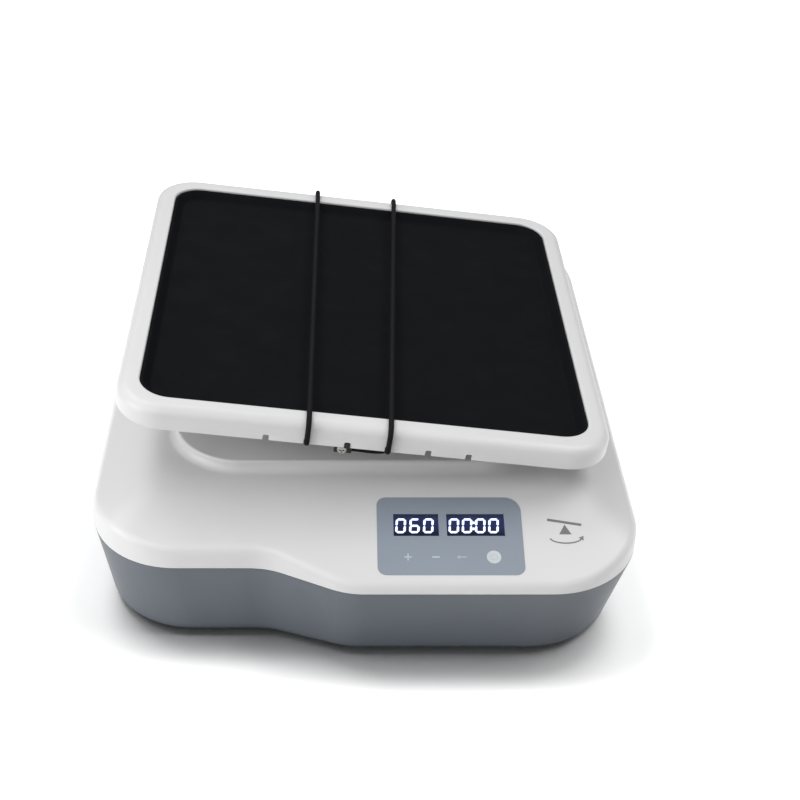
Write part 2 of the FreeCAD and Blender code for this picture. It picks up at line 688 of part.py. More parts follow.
def cord_clip():
    """Small black clamp behind the skirt; its tab fills one notch and its foot holds a screw."""
    tab_x = front_notch_places()[2]
    back = -(TRAY_HALF_Y - TRAY_WALL)
    body = block((tab_x - 6.5, tab_x + 3.0), (back + 0.2, back + 4.7), (SKIRT_Z - 5.5, SKIRT_Z + 3.0))
    tab = block((tab_x - 1.5, tab_x + 1.5), (-TRAY_HALF_Y - 0.3, back + 0.5), (SKIRT_Z + 0.1, SKIRT_Z + 3.0))
    return tilt(body.fuse(tab).removeSplitter())


def cord_clip_screw():
    tab_x = front_notch_places()[2]
    back = -(TRAY_HALF_Y - TRAY_WALL)
    x, z = tab_x - 2.4, SKIRT_Z - 2.8
    head = Part.makeCylinder(2.7, 1.9, vec(x, back + 0.2, z), vec(0, -1, 0))
    head = head.makeFillet(0.8, [e for e in head.Edges if e.BoundBox.YMax < back - 1.6])
    cross = [block((x - 1.6, x + 1.6), (back - 1.8, back - 0.9), (z - 0.3, z + 0.3)),
             block((x - 0.3, x + 0.3), (back - 1.8, back - 0.9), (z - 1.6, z + 1.6))]
    return tilt(cut_all(head, cross))


# ---- spindle and its bearings ---------------------------------------------------------------
def spindle():
    head_low, head_high = CRANK_HEAD_Z
    shaft = rod(SPINDLE_R, SPINDLE_BOTTOM_Z, head_high)
    head = rod(CRANK_HEAD_R, head_low, head_high)
    shoulder = rod(SPINDLE_R + 2.0, HOUSING_Z[1] + 0.3, head_low + 1)
    pin = tilt(rod(PIN_R, HUB_BARREL_Z - 10.0, HUB_FLANGE[1] - 1.0))
    collar = tilt(rod(PIN_R + 2.0, HUB_BARREL_Z - 10.0, HUB_BARREL_Z + 0.8))
    above_head = rod(CRANK_HEAD_R, head_low, PIVOT_Z + 20)
    return union([shaft, head, shoulder, pin.common(above_head), collar.common(above_head)])


def pin_retaining_ring():
    low = HUB_BARREL_Z + 1.0 + 2 * SMALL_BEARING_WIDTH + 2.0 + 0.3
    return tilt(tube(PIN_R + 3.0, PIN_R, low, low + 1.2))


def bearing_housing():
    low, high = HOUSING_Z
    body = rod(HOUSING_FLANGE_R, low, low + HOUSING_FLANGE).fuse(rod(HOUSING_BARREL_R, low, high))
    arm = block((-8, 8), (HOUSING_BARREL_R - 4, POST_Y + 8), (high - 8, high))
    body = body.fuse(arm).removeSplitter()
    tools = [rod(BIG_BEARING_R, low - 1, low + BIG_BEARING_WIDTH),
             rod(BIG_BEARING_R, high - BIG_BEARING_WIDTH, high + 1),
             rod(BIG_BEARING_R - 3, low, high), rod(POST_R + PRESS_GAP, high - 9, high + 1, 0, POST_Y)]
    tools += [rod(M4_R + SCREW_GAP, low - 1, low + 8, x, y) for x, y in around(4, HOUSING_SCREW_CIRCLE_R)]
    return cut_all(body, tools)


def housing_screws():
    places = around(4, HOUSING_SCREW_CIRCLE_R)
    head_z = CHASSIS_Z[1] + HOUSING_FLANGE
    return group(screw(M4_R, 7.0, 3.5, 2.4, x, y, head_z, up=False) for x, y in places)


def anti_rotation_post():
    top = PIVOT_Z - POST_BALL_DROP
    stem = rod(POST_R, HOUSING_Z[1] - 8, top, 0, POST_Y)
    ball = Part.makeSphere(POST_BALL_R, vec(0, POST_Y, top))
    return stem.fuse(ball)


def chassis_plate():
    low, high = CHASSIS_Z
    front, rear = CHASSIS_Y
    middle = (front + rear) / 2
    plate = prism(rectangle(CHASSIS_HALF_X, (rear - front) / 2, 8.0, 0, middle), low, high)
    tools = [rod(14.0, low - 1, high + 1), rod(9.0, low - 1, high + 1, 0, MOTOR_Y)]
    tools += [rod(M3_R + SCREW_GAP, low - 1, high + 1, x, y) for x, y in chassis_post_places()]
    tools += [rod(M4_R + PRESS_GAP, low - 1, high + 1, x, y)
              for x, y in around(4, HOUSING_SCREW_CIRCLE_R)]
    tools += [rod(M3_R + SCREW_GAP, low - 1, high + 1, x, y + MOTOR_Y)
              for x, y in around(4, MOTOR_SCREW_CIRCLE_R)]
    return cut_all(plate, tools)


def chassis_screws():
    return group(screw(M3_R - 0.05, 10.0, 3.0, 2.0, x, y, CHASSIS_Z[1], up=False)
                 for x, y in chassis_post_places())


# ---- belt drive -----------------------------------------------------------------------------
def pulley(radius, bore, hub_r, hub_top, y=0.0):
    low, high = FACE_Z
    body = rod(radius, low, high, 0, y)
    for start in (low - FLANGE_THICKNESS, high):
        body = body.fuse(rod(radius + FLANGE_RISE, start, start + FLANGE_THICKNESS, 0, y))
    body = body.fuse(rod(hub_r, low, hub_top, 0, y))
    return body.cut(rod(bore, low - 5, hub_top + 5, 0, y)).removeSplitter()


def driven_pulley():
    low, high = FACE_Z
    body = pulley(DRIVEN_R, SPINDLE_R + PRESS_GAP, 11.0, CHASSIS_Z[1] - 0.8)
    windows = [rod(9.0, low - 5, high + 5, x, y) for x, y in around(5, 24.0, 90.0)]
    return cut_all(body, windows)


def motor_pulley():
    return pulley(DRIVER_R, MOTOR_SHAFT_R + PRESS_GAP, DRIVER_R, FACE_Z[1] + 2.5, MOTOR_Y)


def belt_loop(grow):
    """Outline round both pulleys, grown by grow."""
    big, small = DRIVEN_R + grow, DRIVER_R + grow
    lean = math.asin((big - small) / MOTOR_Y)
    side = vec(math.cos(lean), math.sin(lean))
    mirror = vec(-side.x, side.y)
    centre = vec(0, MOTOR_Y)
    edges = [Part.Arc(mirror * big, vec(0, -big), side * big),
             Part.LineSegment(side * big, centre + side * small),
             Part.Arc(centre + side * small, centre + vec(0, small), centre + mirror * small),
             Part.LineSegment(centre + mirror * small, mirror * big)]
    loop = Part.Wire([edge.toShape() for edge in edges])
    loop.translate(vec(0, 0, BELT_Z[0]))
    return Part.Face(loop).extrude(vec(0, 0, BELT_Z[1] - BELT_Z[0]))


def drive_belt():
    return belt_loop(BELT_GAP + BELT_THICKNESS).cut(belt_loop(BELT_GAP))


def motor():
    low = CHASSIS_Z[1]
    can = rod(MOTOR_R, low, low + MOTOR_HEIGHT, 0, MOTOR_Y)
    can = fillet_where(can, 2.0, lambda b: b.ZMin > low + MOTOR_HEIGHT - 0.01)
    boss = rod(8.5, low - 2.0, low, 0, MOTOR_Y)
    tools = [rod(MOTOR_SHAFT_R + RUNNING_GAP, low - 5, low + 20, 0, MOTOR_Y)]
    tools += [rod(M3_R, low - 1, low + 6, x, y + MOTOR_Y) for x, y in around(4, MOTOR_SCREW_CIRCLE_R)]
    return cut_all(can.fuse(boss).removeSplitter(), tools)


def motor_shaft():
    return rod(MOTOR_SHAFT_R, FACE_Z[0] - 1.2, CHASSIS_Z[1] + 19, 0, MOTOR_Y)


def motor_screws():
    return group(screw(M3_R, 8.0, 2.8, 1.8, x, y + MOTOR_Y, CHASSIS_Z[0])
                 for x, y in around(4, MOTOR_SCREW_CIRCLE_R))


def sensor_magnet():
    x, y = around(5, 33.0, 54.0)[0]
    top = FACE_Z[1] + FLANGE_THICKNESS
    return rod(2.5, top, top + 1.5, x, y)


def speed_sensor():
    x, y = around(5, 33.0, 54.0)[0]
    return block((x - 6, x + 6), (y - 4, y + 4), (FACE_Z[1] + 3.5, CHASSIS_Z[0]))


# ---- electronics, rear panel, feet ----------------------------------------------------------
def control_board():
    x, y = CONTROL_BOARD_PLACE
    half_x, half_y = CONTROL_BOARD_HALF
    bottom, top = CONTROL_BOARD_Z, CONTROL_BOARD_Z + BOARD_THICKNESS
    posts = [rod(3.0, SHELL_BOTTOM_Z + WALL, bottom, x + dx, y + dy)
             for dx in (4 - half_x, half_x - 4) for dy in (5 - half_y, half_y - 5)]
    board = block((x - half_x, x + half_x), (y - half_y, y + half_y), (bottom, top))
    chips = [block((x - 12, x + 12), (y - 10, y + 14), (top, top + 2.5)),
             rod(6.0, top, top + 16, x - 8, y + 30), rod(6.0, top, top + 16, x + 7, y + 30),
             block((x - 14, x + 14), (y - 40, y - 32), (top, top + 18))]
    return union([board] + chips + posts)


def rubber_feet():
    feet = []
    for x, y in FOOT_PLACES:
        foot = Part.makeCone(FOOT_R - 1.5, FOOT_R, SHELL_BOTTOM_Z + FOOT_SEAT - 1, vec(x, y, 0))
        feet.append(foot.makeFillet(0.8, [e for e in foot.Edges if e.BoundBox.ZMax < 0.01]))
    return group(feet)


def case_screws():
    return group(screw(M4_R - 0.15, JOINT_Z + 10 - CASE_SCREW_HEAD_Z, 3.6, 2.6, x, y, CASE_SCREW_HEAD_Z)
                 for x, y in CASE_POST_PLACES)


def rocker_pins(radius, reach):
    x, z = SWITCH_CENTRE
    start = vec(x - reach, POCKET_FACE_Y - ROCKER_PIVOT_DEPTH, z)
    return Part.makeCylinder(radius, 2 * reach, start, X_AXIS)


def switch_frame():
    x, z = SWITCH_CENTRE
    half_x, half_z = SWITCH_HALF
    bezel = block((x - half_x, x + half_x), (POCKET_FACE_Y, POCKET_FACE_Y + 1.6), (z - half_z, z + half_z))
    cut = switch_cut()
    body = block((cut[0][0] + 0.2, cut[0][1] - 0.2), (POCKET_FACE_Y - 14, POCKET_FACE_Y + 1),
                 (cut[2][0] + 0.2, cut[2][1] - 0.2))
    well_x, well_z = ROCKER_HALF[0] + FIT_GAP, ROCKER_HALF[1] + FIT_GAP
    well = block((x - well_x, x + well_x), (POCKET_FACE_Y - 9, POCKET_FACE_Y + 3),
                 (z - well_z, z + well_z))
    pin_holes = rocker_pins(ROCKER_PIN_R + RUNNING_GAP, ROCKER_HALF[0] + 1.0)
    return cut_all(bezel.fuse(body), [well, pin_holes]).removeSplitter()


def switch_rocker():
    """Rocker on two pivot pins, with two flats that meet at the middle, pressed in at the top."""
    x, z = SWITCH_CENTRE
    half_x, half_z = ROCKER_HALF
    half_z -= 0.35
    rise = half_z * math.tan(math.radians(ROCKER_TILT_DEG))
    face = POCKET_FACE_Y + 1.0
    outline = [vec(0, face - 5, z - half_z + 0.7), vec(0, face - 5, z + half_z - 0.7),
               vec(0, face + rise, z + half_z), vec(0, face, z), vec(0, face + rise, z - half_z)]
    wire = Part.makePolygon(outline + outline[:1])
    body = Part.Face(wire).extrude(vec(half_x * 2, 0, 0))
    body.translate(vec(x - half_x, 0, 0))
    body.rotate(vec(x, POCKET_FACE_Y - ROCKER_PIVOT_DEPTH, z), X_AXIS, ROCKER_TILT_DEG)
    return body.fuse(rocker_pins(ROCKER_PIN_R, ROCKER_HALF[0] + 0.8)).removeSplitter()


def power_inlet():
    flange = inlet_rod(INLET_R + 2.0, 1.8, 0.0)
    body = inlet_rod(INLET_R, 12.0)
    bore = inlet_rod(INLET_BORE_R, 11.0, -7.0)
    pin = inlet_rod(INLET_PIN_R, 7.0, -8.0)
    return union([union([flange, body]).cut(bore), pin])


# ---- the parts ------------------------------------------------------------------------------
def main():
    os.makedirs("parts", exist_ok=True)
    lower_bearing = HUB_BARREL_Z + 1.0
    upper_bearing = lower_bearing + SMALL_BEARING_WIDTH + 2.0
    big_bore = SPINDLE_R + RUNNING_GAP
    save("base_shell", base_shell())
    save("top_cover", top_cover())
    save("rubber_feet", rubber_feet())
    save("case_screws", case_screws())
    save("control_overlay", control_overlay())
    save("speed_display", display(SPEED_WINDOW_U))
    save("time_display", display(TIME_WINDOW_U))
    save("display_board", display_board())
    save("display_board_screws", display_board_screws())
    save("touch_key_springs", touch_key_springs())
    save("control_board", control_board())
    save("power_switch_frame", switch_frame())
    save("power_switch_rocker", switch_rocker())
    save("power_inlet", power_inlet())
    save("chassis_plate", chassis_plate())
    save("chassis_screws", chassis_screws())
    save("bearing_housing", bearing_housing())
    save("housing_screws", housing_screws())
    save("lower_spindle_bearing", bearing(big_bore, BIG_BEARING_R, HOUSING_Z[0], BIG_BEARING_WIDTH))
    save("upper_spindle_bearing",
         bearing(big_bore, BIG_BEARING_R, HOUSING_Z[1] - BIG_BEARING_WIDTH, BIG_BEARING_WIDTH))
    save("anti_rotation_post", anti_rotation_post())
    save("spindle", spindle())
    save("pin_retaining_ring", pin_retaining_ring())
    save("driven_pulley", driven_pulley())
    save("sensor_magnet", sensor_magnet())
    save("speed_sensor", speed_sensor())
    save("drive_belt", drive_belt())
    save("motor", motor())
    save("motor_shaft", motor_shaft())
    save("motor_screws", motor_screws())
    save("motor_pulley", motor_pulley())
    save("platform_tray", platform_tray())
    save("non_slip_mat", non_slip_mat())
    save("support_plate", support_plate())
    save("plate_screws", plate_screws())
    save("platform_hub", platform_hub())
    save("hub_screws", hub_screws())
    save("lower_hub_bearing", hub_bearing(lower_bearing))
    save("upper_hub_bearing", hub_bearing(upper_bearing))
    save("hub_spacer", hub_spacer())
    save("anti_rotation_fork", anti_rotation_fork())
    save("elastic_cord_left", elastic_cord_left())
    save("elastic_cord_right", elastic_cord_right())
    save("cord_stops", cord_stops())
    save("cord_clip", cord_clip())
    save("cord_clip_screw", cord_clip_screw())


main()
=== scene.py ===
"""Looks of the nutating orbital shaker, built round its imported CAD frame.

Everything is in metres in the CAD frame: origin on the floor under the spindle, +X to the
operator's right, the operator at -Y, +Z up.  Lengths are written in millimetres times MM.
What belongs to the platform is drawn level in the platform's own axes and then tilted.
"""
import json
import math

import bmesh
import bpy
from mathutils import Matrix, Vector


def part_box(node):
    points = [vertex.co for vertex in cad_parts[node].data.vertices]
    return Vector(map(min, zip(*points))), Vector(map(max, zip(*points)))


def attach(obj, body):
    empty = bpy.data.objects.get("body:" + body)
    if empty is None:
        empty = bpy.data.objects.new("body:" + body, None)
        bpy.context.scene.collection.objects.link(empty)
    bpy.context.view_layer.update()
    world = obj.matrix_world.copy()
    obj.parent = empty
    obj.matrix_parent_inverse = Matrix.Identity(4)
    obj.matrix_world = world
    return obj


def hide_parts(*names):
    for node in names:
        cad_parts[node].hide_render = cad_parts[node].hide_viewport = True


MM = 0.001
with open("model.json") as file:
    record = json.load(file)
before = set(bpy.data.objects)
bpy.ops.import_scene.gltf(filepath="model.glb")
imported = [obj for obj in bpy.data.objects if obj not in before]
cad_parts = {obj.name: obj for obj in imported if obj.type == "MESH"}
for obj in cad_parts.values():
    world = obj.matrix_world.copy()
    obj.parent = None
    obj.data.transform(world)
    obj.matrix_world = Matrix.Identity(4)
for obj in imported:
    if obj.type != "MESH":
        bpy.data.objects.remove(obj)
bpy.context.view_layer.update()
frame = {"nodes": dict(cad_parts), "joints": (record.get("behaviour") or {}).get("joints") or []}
JOINTS = {joint["name"]: joint for joint in frame["joints"]}

# ---- places taken from the frame ------------------------------------------------------------
COVER_LOW, COVER_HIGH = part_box("top_cover")
JOINT_Z = COVER_LOW.z
FLOOR_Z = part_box("rubber_feet")[0].z
SIDE_X, FRONT_Y, REAR_Y = COVER_HIGH.x, COVER_LOW.y, COVER_HIGH.y
PLATEAU_Z = COVER_HIGH.z
SWING = JOINTS["platform_swing"]
TILT = math.atan2(SWING["axis"][0], SWING["axis"][2])
PLATFORM = Matrix.Translation(Vector(SWING["pos_m"])) @ Matrix.Rotation(TILT, 4, "Y")

# ---- driving values of the case's form --------------------------------------------------------
FRONT_STEP = 21.0 * MM
STEP_START_X, STEP_END_X = -52.5 * MM, -8.7 * MM
STEP_RADIUS = 43.0 * MM
CASE_CORNER = 51.0 * MM
FRONT_EDGE_Z = 57.7 * MM          # the front slope's height at the front
SIDE_EDGE_Z = 65.5 * MM
FLANK_TOP_Z = 80.5 * MM
FLANK_TOP_HALF = 121.0 * MM
PLATEAU_HALF = (108.0 * MM, 110.0 * MM)
PLATEAU_CORNER = 40.0 * MM
PLATEAU_FOOT = 5.0 * MM            # radius where the riser meets the flanks
PLATEAU_EDGE = 1.5 * MM            # radius of the plateau's own edge
OPENING_R = 50.0 * MM
OPENING_LIP = 0.8 * MM
COVER_WALL = 2.4 * MM
EDGE_ROUND = 4.0 * MM
SLOPE_RISE = (FLANK_TOP_Z - FRONT_EDGE_Z) / (-FLANK_TOP_HALF - FRONT_Y)
SIDE_RISE = (FLANK_TOP_Z - SIDE_EDGE_Z) / (SIDE_X - FLANK_TOP_HALF)
REAR_RISE = (FLANK_TOP_Z - SIDE_EDGE_Z) / (REAR_Y - FLANK_TOP_HALF)
SLOPE = Matrix.Translation((0, FRONT_Y, FRONT_EDGE_Z)) @ Matrix.Rotation(math.atan(SLOPE_RISE), 4, "X")

# ---- driving values of the control panel, on the front slope (u across, v up the slope) -------
PANEL_CORNER = 5.0 * MM
KEY_U = [u * MM for u in (24.6, 39.7, 54.4, 71.1)]
KEY_V = 18.0 * MM
PANEL_FACE = 0.15 * MM            # the film's face above the slope
PRINT_HEIGHT = 0.03 * MM
SYMBOL_CENTRE = (111.0 * MM, 33.0 * MM)

# ---- driving values of the platform, in its own axes ------------------------------------------
TRAY_CORNER = 27.0 * MM
RIM_ROUND = 6.0 * MM
TRAY_WALL = 3.0 * MM
RECESS_CORNER = 17.5 * MM
RECESS_GAP = 0.3 * MM             # the mat lies in its recess with this clearance
NOTCH_X = [(1.5 + 22.0 * (i - 2.5)) * MM for i in range(6)]
REAR_NOTCH_X = (-29.5 * MM, 23.0 * MM)
CORD_DIAMETER = 3.0 * MM
NOTCH_HALF_WIDTH = (CORD_DIAMETER + 0.4 * MM) / 2
NOTCH_HEIGHT = CORD_DIAMETER + 0.7 * MM


# ---- helpers: objects, outlines and skins -----------------------------------------------------
def platform_point(x, y, z):
    """A point given in millimetres in the platform's axes, in the frame's axes."""
    return PLATFORM @ Vector((x * MM, y * MM, z * MM))


def local_box(node, matrix):
    """Lowest and highest corners of a CAD node in the axes of matrix."""
    inverse = matrix.inverted()
    points = [inverse @ vertex.co for vertex in frame["nodes"][node].data.vertices]
    low = Vector([min(p[k] for p in points) for k in range(3)])
    high = Vector([max(p[k] for p in points) for k in range(3)])
    return low, high


def link(name, data):
    piece = bpy.data.objects.new(name, data)
    bpy.context.scene.collection.objects.link(piece)
    return piece


def finish_mesh(name, mesh, matrix=None, smooth_angle=math.radians(38)):
    if matrix is not None:
        bmesh.ops.transform(mesh, matrix=matrix, verts=mesh.verts)
    data = bpy.data.meshes.new(name)
    mesh.to_mesh(data)
    mesh.free()
    data.shade_smooth()
    data.set_sharp_from_angle(angle=smooth_angle)
    return link(name, data)


def apply_modifiers(piece):
    depsgraph = bpy.context.evaluated_depsgraph_get()
    done = bpy.data.meshes.new_from_object(piece.evaluated_get(depsgraph))
    piece.modifiers.clear()
    piece.data = done


def subtract(piece, cutter):
    """Cut the cutter out of the piece and throw the cutter away."""
    modifier = piece.modifiers.new("cut", "BOOLEAN")
    modifier.operation = "DIFFERENCE"
    modifier.solver = "EXACT"
    modifier.object = cutter
    apply_modifiers(piece)
    bpy.data.objects.remove(cutter)


def even_normals(piece):
    """Keep flat faces flat beside their small roundings."""
    modifier = piece.modifiers.new("even_normals", "WEIGHTED_NORMAL")
    modifier.keep_sharp = True
    modifier.weight = 60
    apply_modifiers(piece)


def skin(rings, cap_first=False, cap_last=False):
    """A mesh from closed rings of equally many points, each skinned to the next."""
    mesh = bmesh.new()
    rows = [[mesh.verts.new(point) for point in ring] for ring in rings]
    for lower, upper in zip(rows, rows[1:]):
        for i in range(len(lower)):
            j = (i + 1) % len(lower)
            mesh.faces.new((lower[i], lower[j], upper[j], upper[i]))
    if cap_first:
        mesh.faces.new(list(reversed(rows[0])))
    if cap_last:
        mesh.faces.new(rows[-1])
    return mesh


def rounded_rectangle(half_x, half_y, radius, arc_steps=14, side_steps=6):
    """Points of a rounded rectangle, anticlockwise from the left of its front side."""
    points = []
    corners = ((1, -1, -90), (1, 1, 0), (-1, 1, 90), (-1, -1, 180))
    for sign_x, sign_y, start in corners:
        centre = Vector((sign_x * (half_x - radius), sign_y * (half_y - radius)))
        for step in range(arc_steps + 1):
            angle = math.radians(start + 90 * step / arc_steps)
            points.append(centre + radius * Vector((math.cos(angle), math.sin(angle))))
    return spread(points, arc_steps + 1, side_steps)


def spread(points, stride, side_steps):
    """Add points along the straight side that follows each arc of stride points."""
    result = []
    for index, point in enumerate(points):
        result.append(point)
        if index % stride == stride - 1:
            following = points[(index + 1) % len(points)]
            for step in range(1, side_steps):
                result.append(point.lerp(following, step / side_steps))
    return result


def case_outline(inset, arc_steps=20, side_steps=34):
    """Points of the case's outline moved inwards by inset, anticlockwise, every inset alike."""
    step_y = FRONT_Y + FRONT_STEP
    corners = [(-SIDE_X, step_y, CASE_CORNER), (STEP_START_X, step_y, STEP_RADIUS),
               (STEP_END_X, FRONT_Y, STEP_RADIUS), (SIDE_X, FRONT_Y, CASE_CORNER),
               (SIDE_X, REAR_Y, CASE_CORNER), (-SIDE_X, REAR_Y, CASE_CORNER)]
    vertices = [Vector(corner[:2]) for corner in corners]
    points = []
    for i, vertex in enumerate(vertices):
        before = (vertex - vertices[i - 1]).normalized()
        after = (vertices[(i + 1) % len(vertices)] - vertex).normalized()
        turn = math.atan2(before.cross(after), before.dot(after))
        side = math.copysign(1.0, turn)
        radius = corners[i][2]
        normal = Vector((-before.y, before.x)) * side
        centre = vertex - before * radius * math.tan(abs(turn) / 2) + normal * radius
        for step in range(arc_steps + 1):
            spoke = Matrix.Rotation(turn * step / arc_steps, 2) @ (-normal)
            points.append(centre + spoke * (radius - side * inset))
    return spread(points, arc_steps + 1, side_steps)


def rectangle_distance(point, half, radius):
    """Signed distance from a rounded rectangle centred on the origin."""
    qx = abs(point.x) - half[0] + radius
    qy = abs(point.y) - half[1] + radius
    return math.hypot(max(qx, 0.0), max(qy, 0.0)) + min(max(qx, qy), 0.0) - radius


def toward_rectangle(point, half, radius, offset):
    """Where the line from point to the origin is offset away from a rounded rectangle."""
    low, high = 0.0, 1.0
    for _ in range(40):
        middle = (low + high) / 2
        if rectangle_distance(point * middle, half, radius) < offset:
            low = middle
        else:
            high = middle
    return point * low


def profile_arc(centre, radius, start, end, steps):
    """Points (distance, height) on an arc; angles in degrees."""
    angles = [math.radians(start + (end - start) * k / steps) for k in range(steps + 1)]
    return [(centre[0] + radius * math.cos(a), centre[1] + radius * math.sin(a)) for a in angles]


# ---- materials --------------------------------------------------------------------------------
class Look:
    """A node material with short ways to add what most finishes share."""

    def __init__(self, name, color, roughness, metallic=0.0):
        self.material = bpy.data.materials.new(name)
        self.material.use_nodes = True
        self.nodes = self.material.node_tree.nodes
        self.links = self.material.node_tree.links
        self.shader = self.nodes["Principled BSDF"]
        self.color = color
        self.shader.inputs["Metallic"].default_value = metallic
        self.shader.inputs["Roughness"].default_value = roughness
        self.shader.inputs["Base Color"].default_value = (*color, 1)
        self.place = self.nodes.new("ShaderNodeTexCoord").outputs["Object"]

    def add(self, kind, **values):
        node = self.nodes.new("ShaderNode" + kind)
        for name, value in values.items():
            setattr(node, name, value)
        return node

    def noise(self, scale, detail=3.0, roughness=0.5, stretch=None, place=None):
        node = self.add("TexNoise")
        node.inputs["Scale"].default_value = scale
        node.inputs["Detail"].default_value = detail
        node.inputs["Roughness"].default_value = roughness
        source = place or self.place
        if stretch:
            mapping = self.add("Mapping")
            mapping.inputs["Scale"].default_value = stretch
            self.links.new(source, mapping.inputs["Vector"])
            source = mapping.outputs["Vector"]
        self.links.new(source, node.inputs["Vector"])
        return node.outputs["Fac"]

    def remap(self, value, low, high, to_low, to_high):
        node = self.add("MapRange")
        for name, number in (("From Min", low), ("From Max", high), ("To Min", to_low), ("To Max", to_high)):
            node.inputs[name].default_value = number
        self.links.new(value, node.inputs["Value"])
        return node.outputs["Result"]

    def math(self, operation, first, second=0.0):
        node = self.add("Math", operation=operation)
        for socket, value in zip(node.inputs, (first, second)):
            if isinstance(value, (int, float)):
                socket.default_value = value
            else:
                self.links.new(value, socket)
        return node.outputs["Value"]

    def mix(self, factor, first, second):
        node = self.add("Mix", data_type="RGBA")
        self.links.new(factor, node.inputs["Factor"])
        for socket, value in ((node.inputs[6], first), (node.inputs[7], second)):
            if isinstance(value, tuple):
                socket.default_value = (*value, 1)
            else:
                self.links.new(value, socket)
        return node.outputs[2]

    def paint(self, color):
        self.links.new(color, self.shader.inputs["Base Color"])

    def blotches(self, scale=9.0, amount=0.03, warm=0.0):
        """Slow variation of the colour, as on any moulding."""
        factor = self.remap(self.noise(scale, 4.0), 0.3, 0.7, 0.0, 1.0)
        dark = tuple(channel * (1 - amount) for channel in self.color)
        light = tuple(channel * (1 + amount) for channel in self.color)
        light = (light[0] * (1 + warm), light[1], light[2] * (1 - warm))
        return self.mix(factor, dark, light)

    def lighter_convex_edges(self, color, edge_color, low=0.52, high=0.62, amount=0.5):
        # Colour turns towards edge_color where the mesh is sharply convex.
        pointiness = self.add("NewGeometry").outputs["Pointiness"]
        factor = self.remap(pointiness, low, high, 0.0, amount)
        return self.mix(factor, color, edge_color)

    def uneven_roughness(self, scale, low, high):
        self.links.new(self.remap(self.noise(scale, 5.0), 0.3, 0.7, low, high),
                       self.shader.inputs["Roughness"])

    def bump(self, heights, strength, distance=0.0002):
        """Bump from one or more (height output, weight)."""
        total = None
        for height, weight in heights:
            part = self.math("MULTIPLY", height, weight)
            total = part if total is None else self.math("ADD", total, part)
        node = self.add("Bump")
        node.inputs["Strength"].default_value = strength
        node.inputs["Distance"].default_value = distance
        self.links.new(total, node.inputs["Height"])
        self.links.new(node.outputs["Normal"], self.shader.inputs["Normal"])


def moulded(name, color, roughness, grain=1400.0, strength=0.25, edge=0.04, specular=0.45):
    """Satin moulded plastic: fine spark-eroded grain, slow colour drift, colour a little lighter on sharply
    convex edges.
    """
    look = Look(name, color, roughness)
    edge_color = tuple(min(1.0, channel * (1 + edge) + edge * 0.3) for channel in color)
    look.paint(look.lighter_convex_edges(look.blotches(7.0, 0.018, 0.004), edge_color))
    look.uneven_roughness(35.0, roughness - 0.04, roughness + 0.05)
    look.bump([(look.noise(grain, 3.0, 0.6), 1.0), (look.noise(grain / 7, 2.0), 0.35)], strength, 0.00006)
    look.shader.inputs["Specular IOR Level"].default_value = specular
    return look.material


def rubber(name, color, roughness, grain=900.0, strength=0.5, specular=0.3):
    look = Look(name, color, roughness)
    dust_and_edge_tone = tuple(channel + 0.003 for channel in color)
    factor = look.remap(look.noise(60.0, 6.0, 0.65), 0.52, 0.78, 0.0, 0.35)
    # Colour lighter on sharply convex edges, besides the patchy dust.
    look.paint(look.lighter_convex_edges(look.mix(factor, color, dust_and_edge_tone), dust_and_edge_tone, 0.51, 0.6, 0.6))
    look.uneven_roughness(45.0, roughness - 0.06, roughness + 0.06)
    look.bump([(look.noise(grain, 2.0, 0.55), 1.0), (look.noise(70.0, 3.0), 0.5)], strength, 0.0001)
    look.shader.inputs["Specular IOR Level"].default_value = specular
    return look.material


def metal(name, color, roughness, stretch=(1, 1, 30), scale=90.0, strength=0.15, tint=None):
    """Turned, ground or plated metal: fine lines along the work, small stains."""
    look = Look(name, color, roughness, 1.0)
    stain = tint or tuple(channel * 0.82 for channel in color)
    factor = look.remap(look.noise(38.0, 6.0, 0.6), 0.45, 0.75, 0.0, 0.6)
    look.paint(look.mix(factor, color, stain))
    look.uneven_roughness(55.0, roughness * 0.75, roughness * 1.3)
    look.bump([(look.noise(scale, 3.0, 0.6, stretch), 1.0)], strength, 0.00005)
    return look.material


def circuit_board_look():
    """Green solder mask with rows of pads and traces."""
    look = Look("circuit_board_finish", (0.02, 0.12, 0.06), 0.35)
    tracks = look.add("TexBrick", offset=0.35)
    tracks.inputs["Scale"].default_value = 260.0
    tracks.inputs["Mortar Size"].default_value = 0.035
    tracks.inputs["Color1"].default_value = (0.018, 0.11, 0.05, 1)
    tracks.inputs["Color2"].default_value = (0.025, 0.14, 0.065, 1)
    tracks.inputs["Mortar"].default_value = (0.06, 0.28, 0.12, 1)
    look.links.new(look.place, tracks.inputs["Vector"])
    look.paint(tracks.outputs["Color"])
    look.bump([(tracks.outputs["Fac"], 1.0)], 0.3, 0.00005)
    look.shader.inputs["Coat Weight"].default_value = 0.4
    return look.material


def panel_film_look():
    """Grey-blue printed polycarbonate with a fine velvet texture."""
    look = Look("panel_film_finish", (0.19, 0.222, 0.262), 0.42)
    look.paint(look.blotches(16.0, 0.03))
    look.uneven_roughness(50.0, 0.38, 0.46)
    look.bump([(look.noise(2600.0, 2.0, 0.6), 1.0)], 0.3, 0.00003)
    look.shader.inputs["Specular IOR Level"].default_value = 0.5
    return look.material


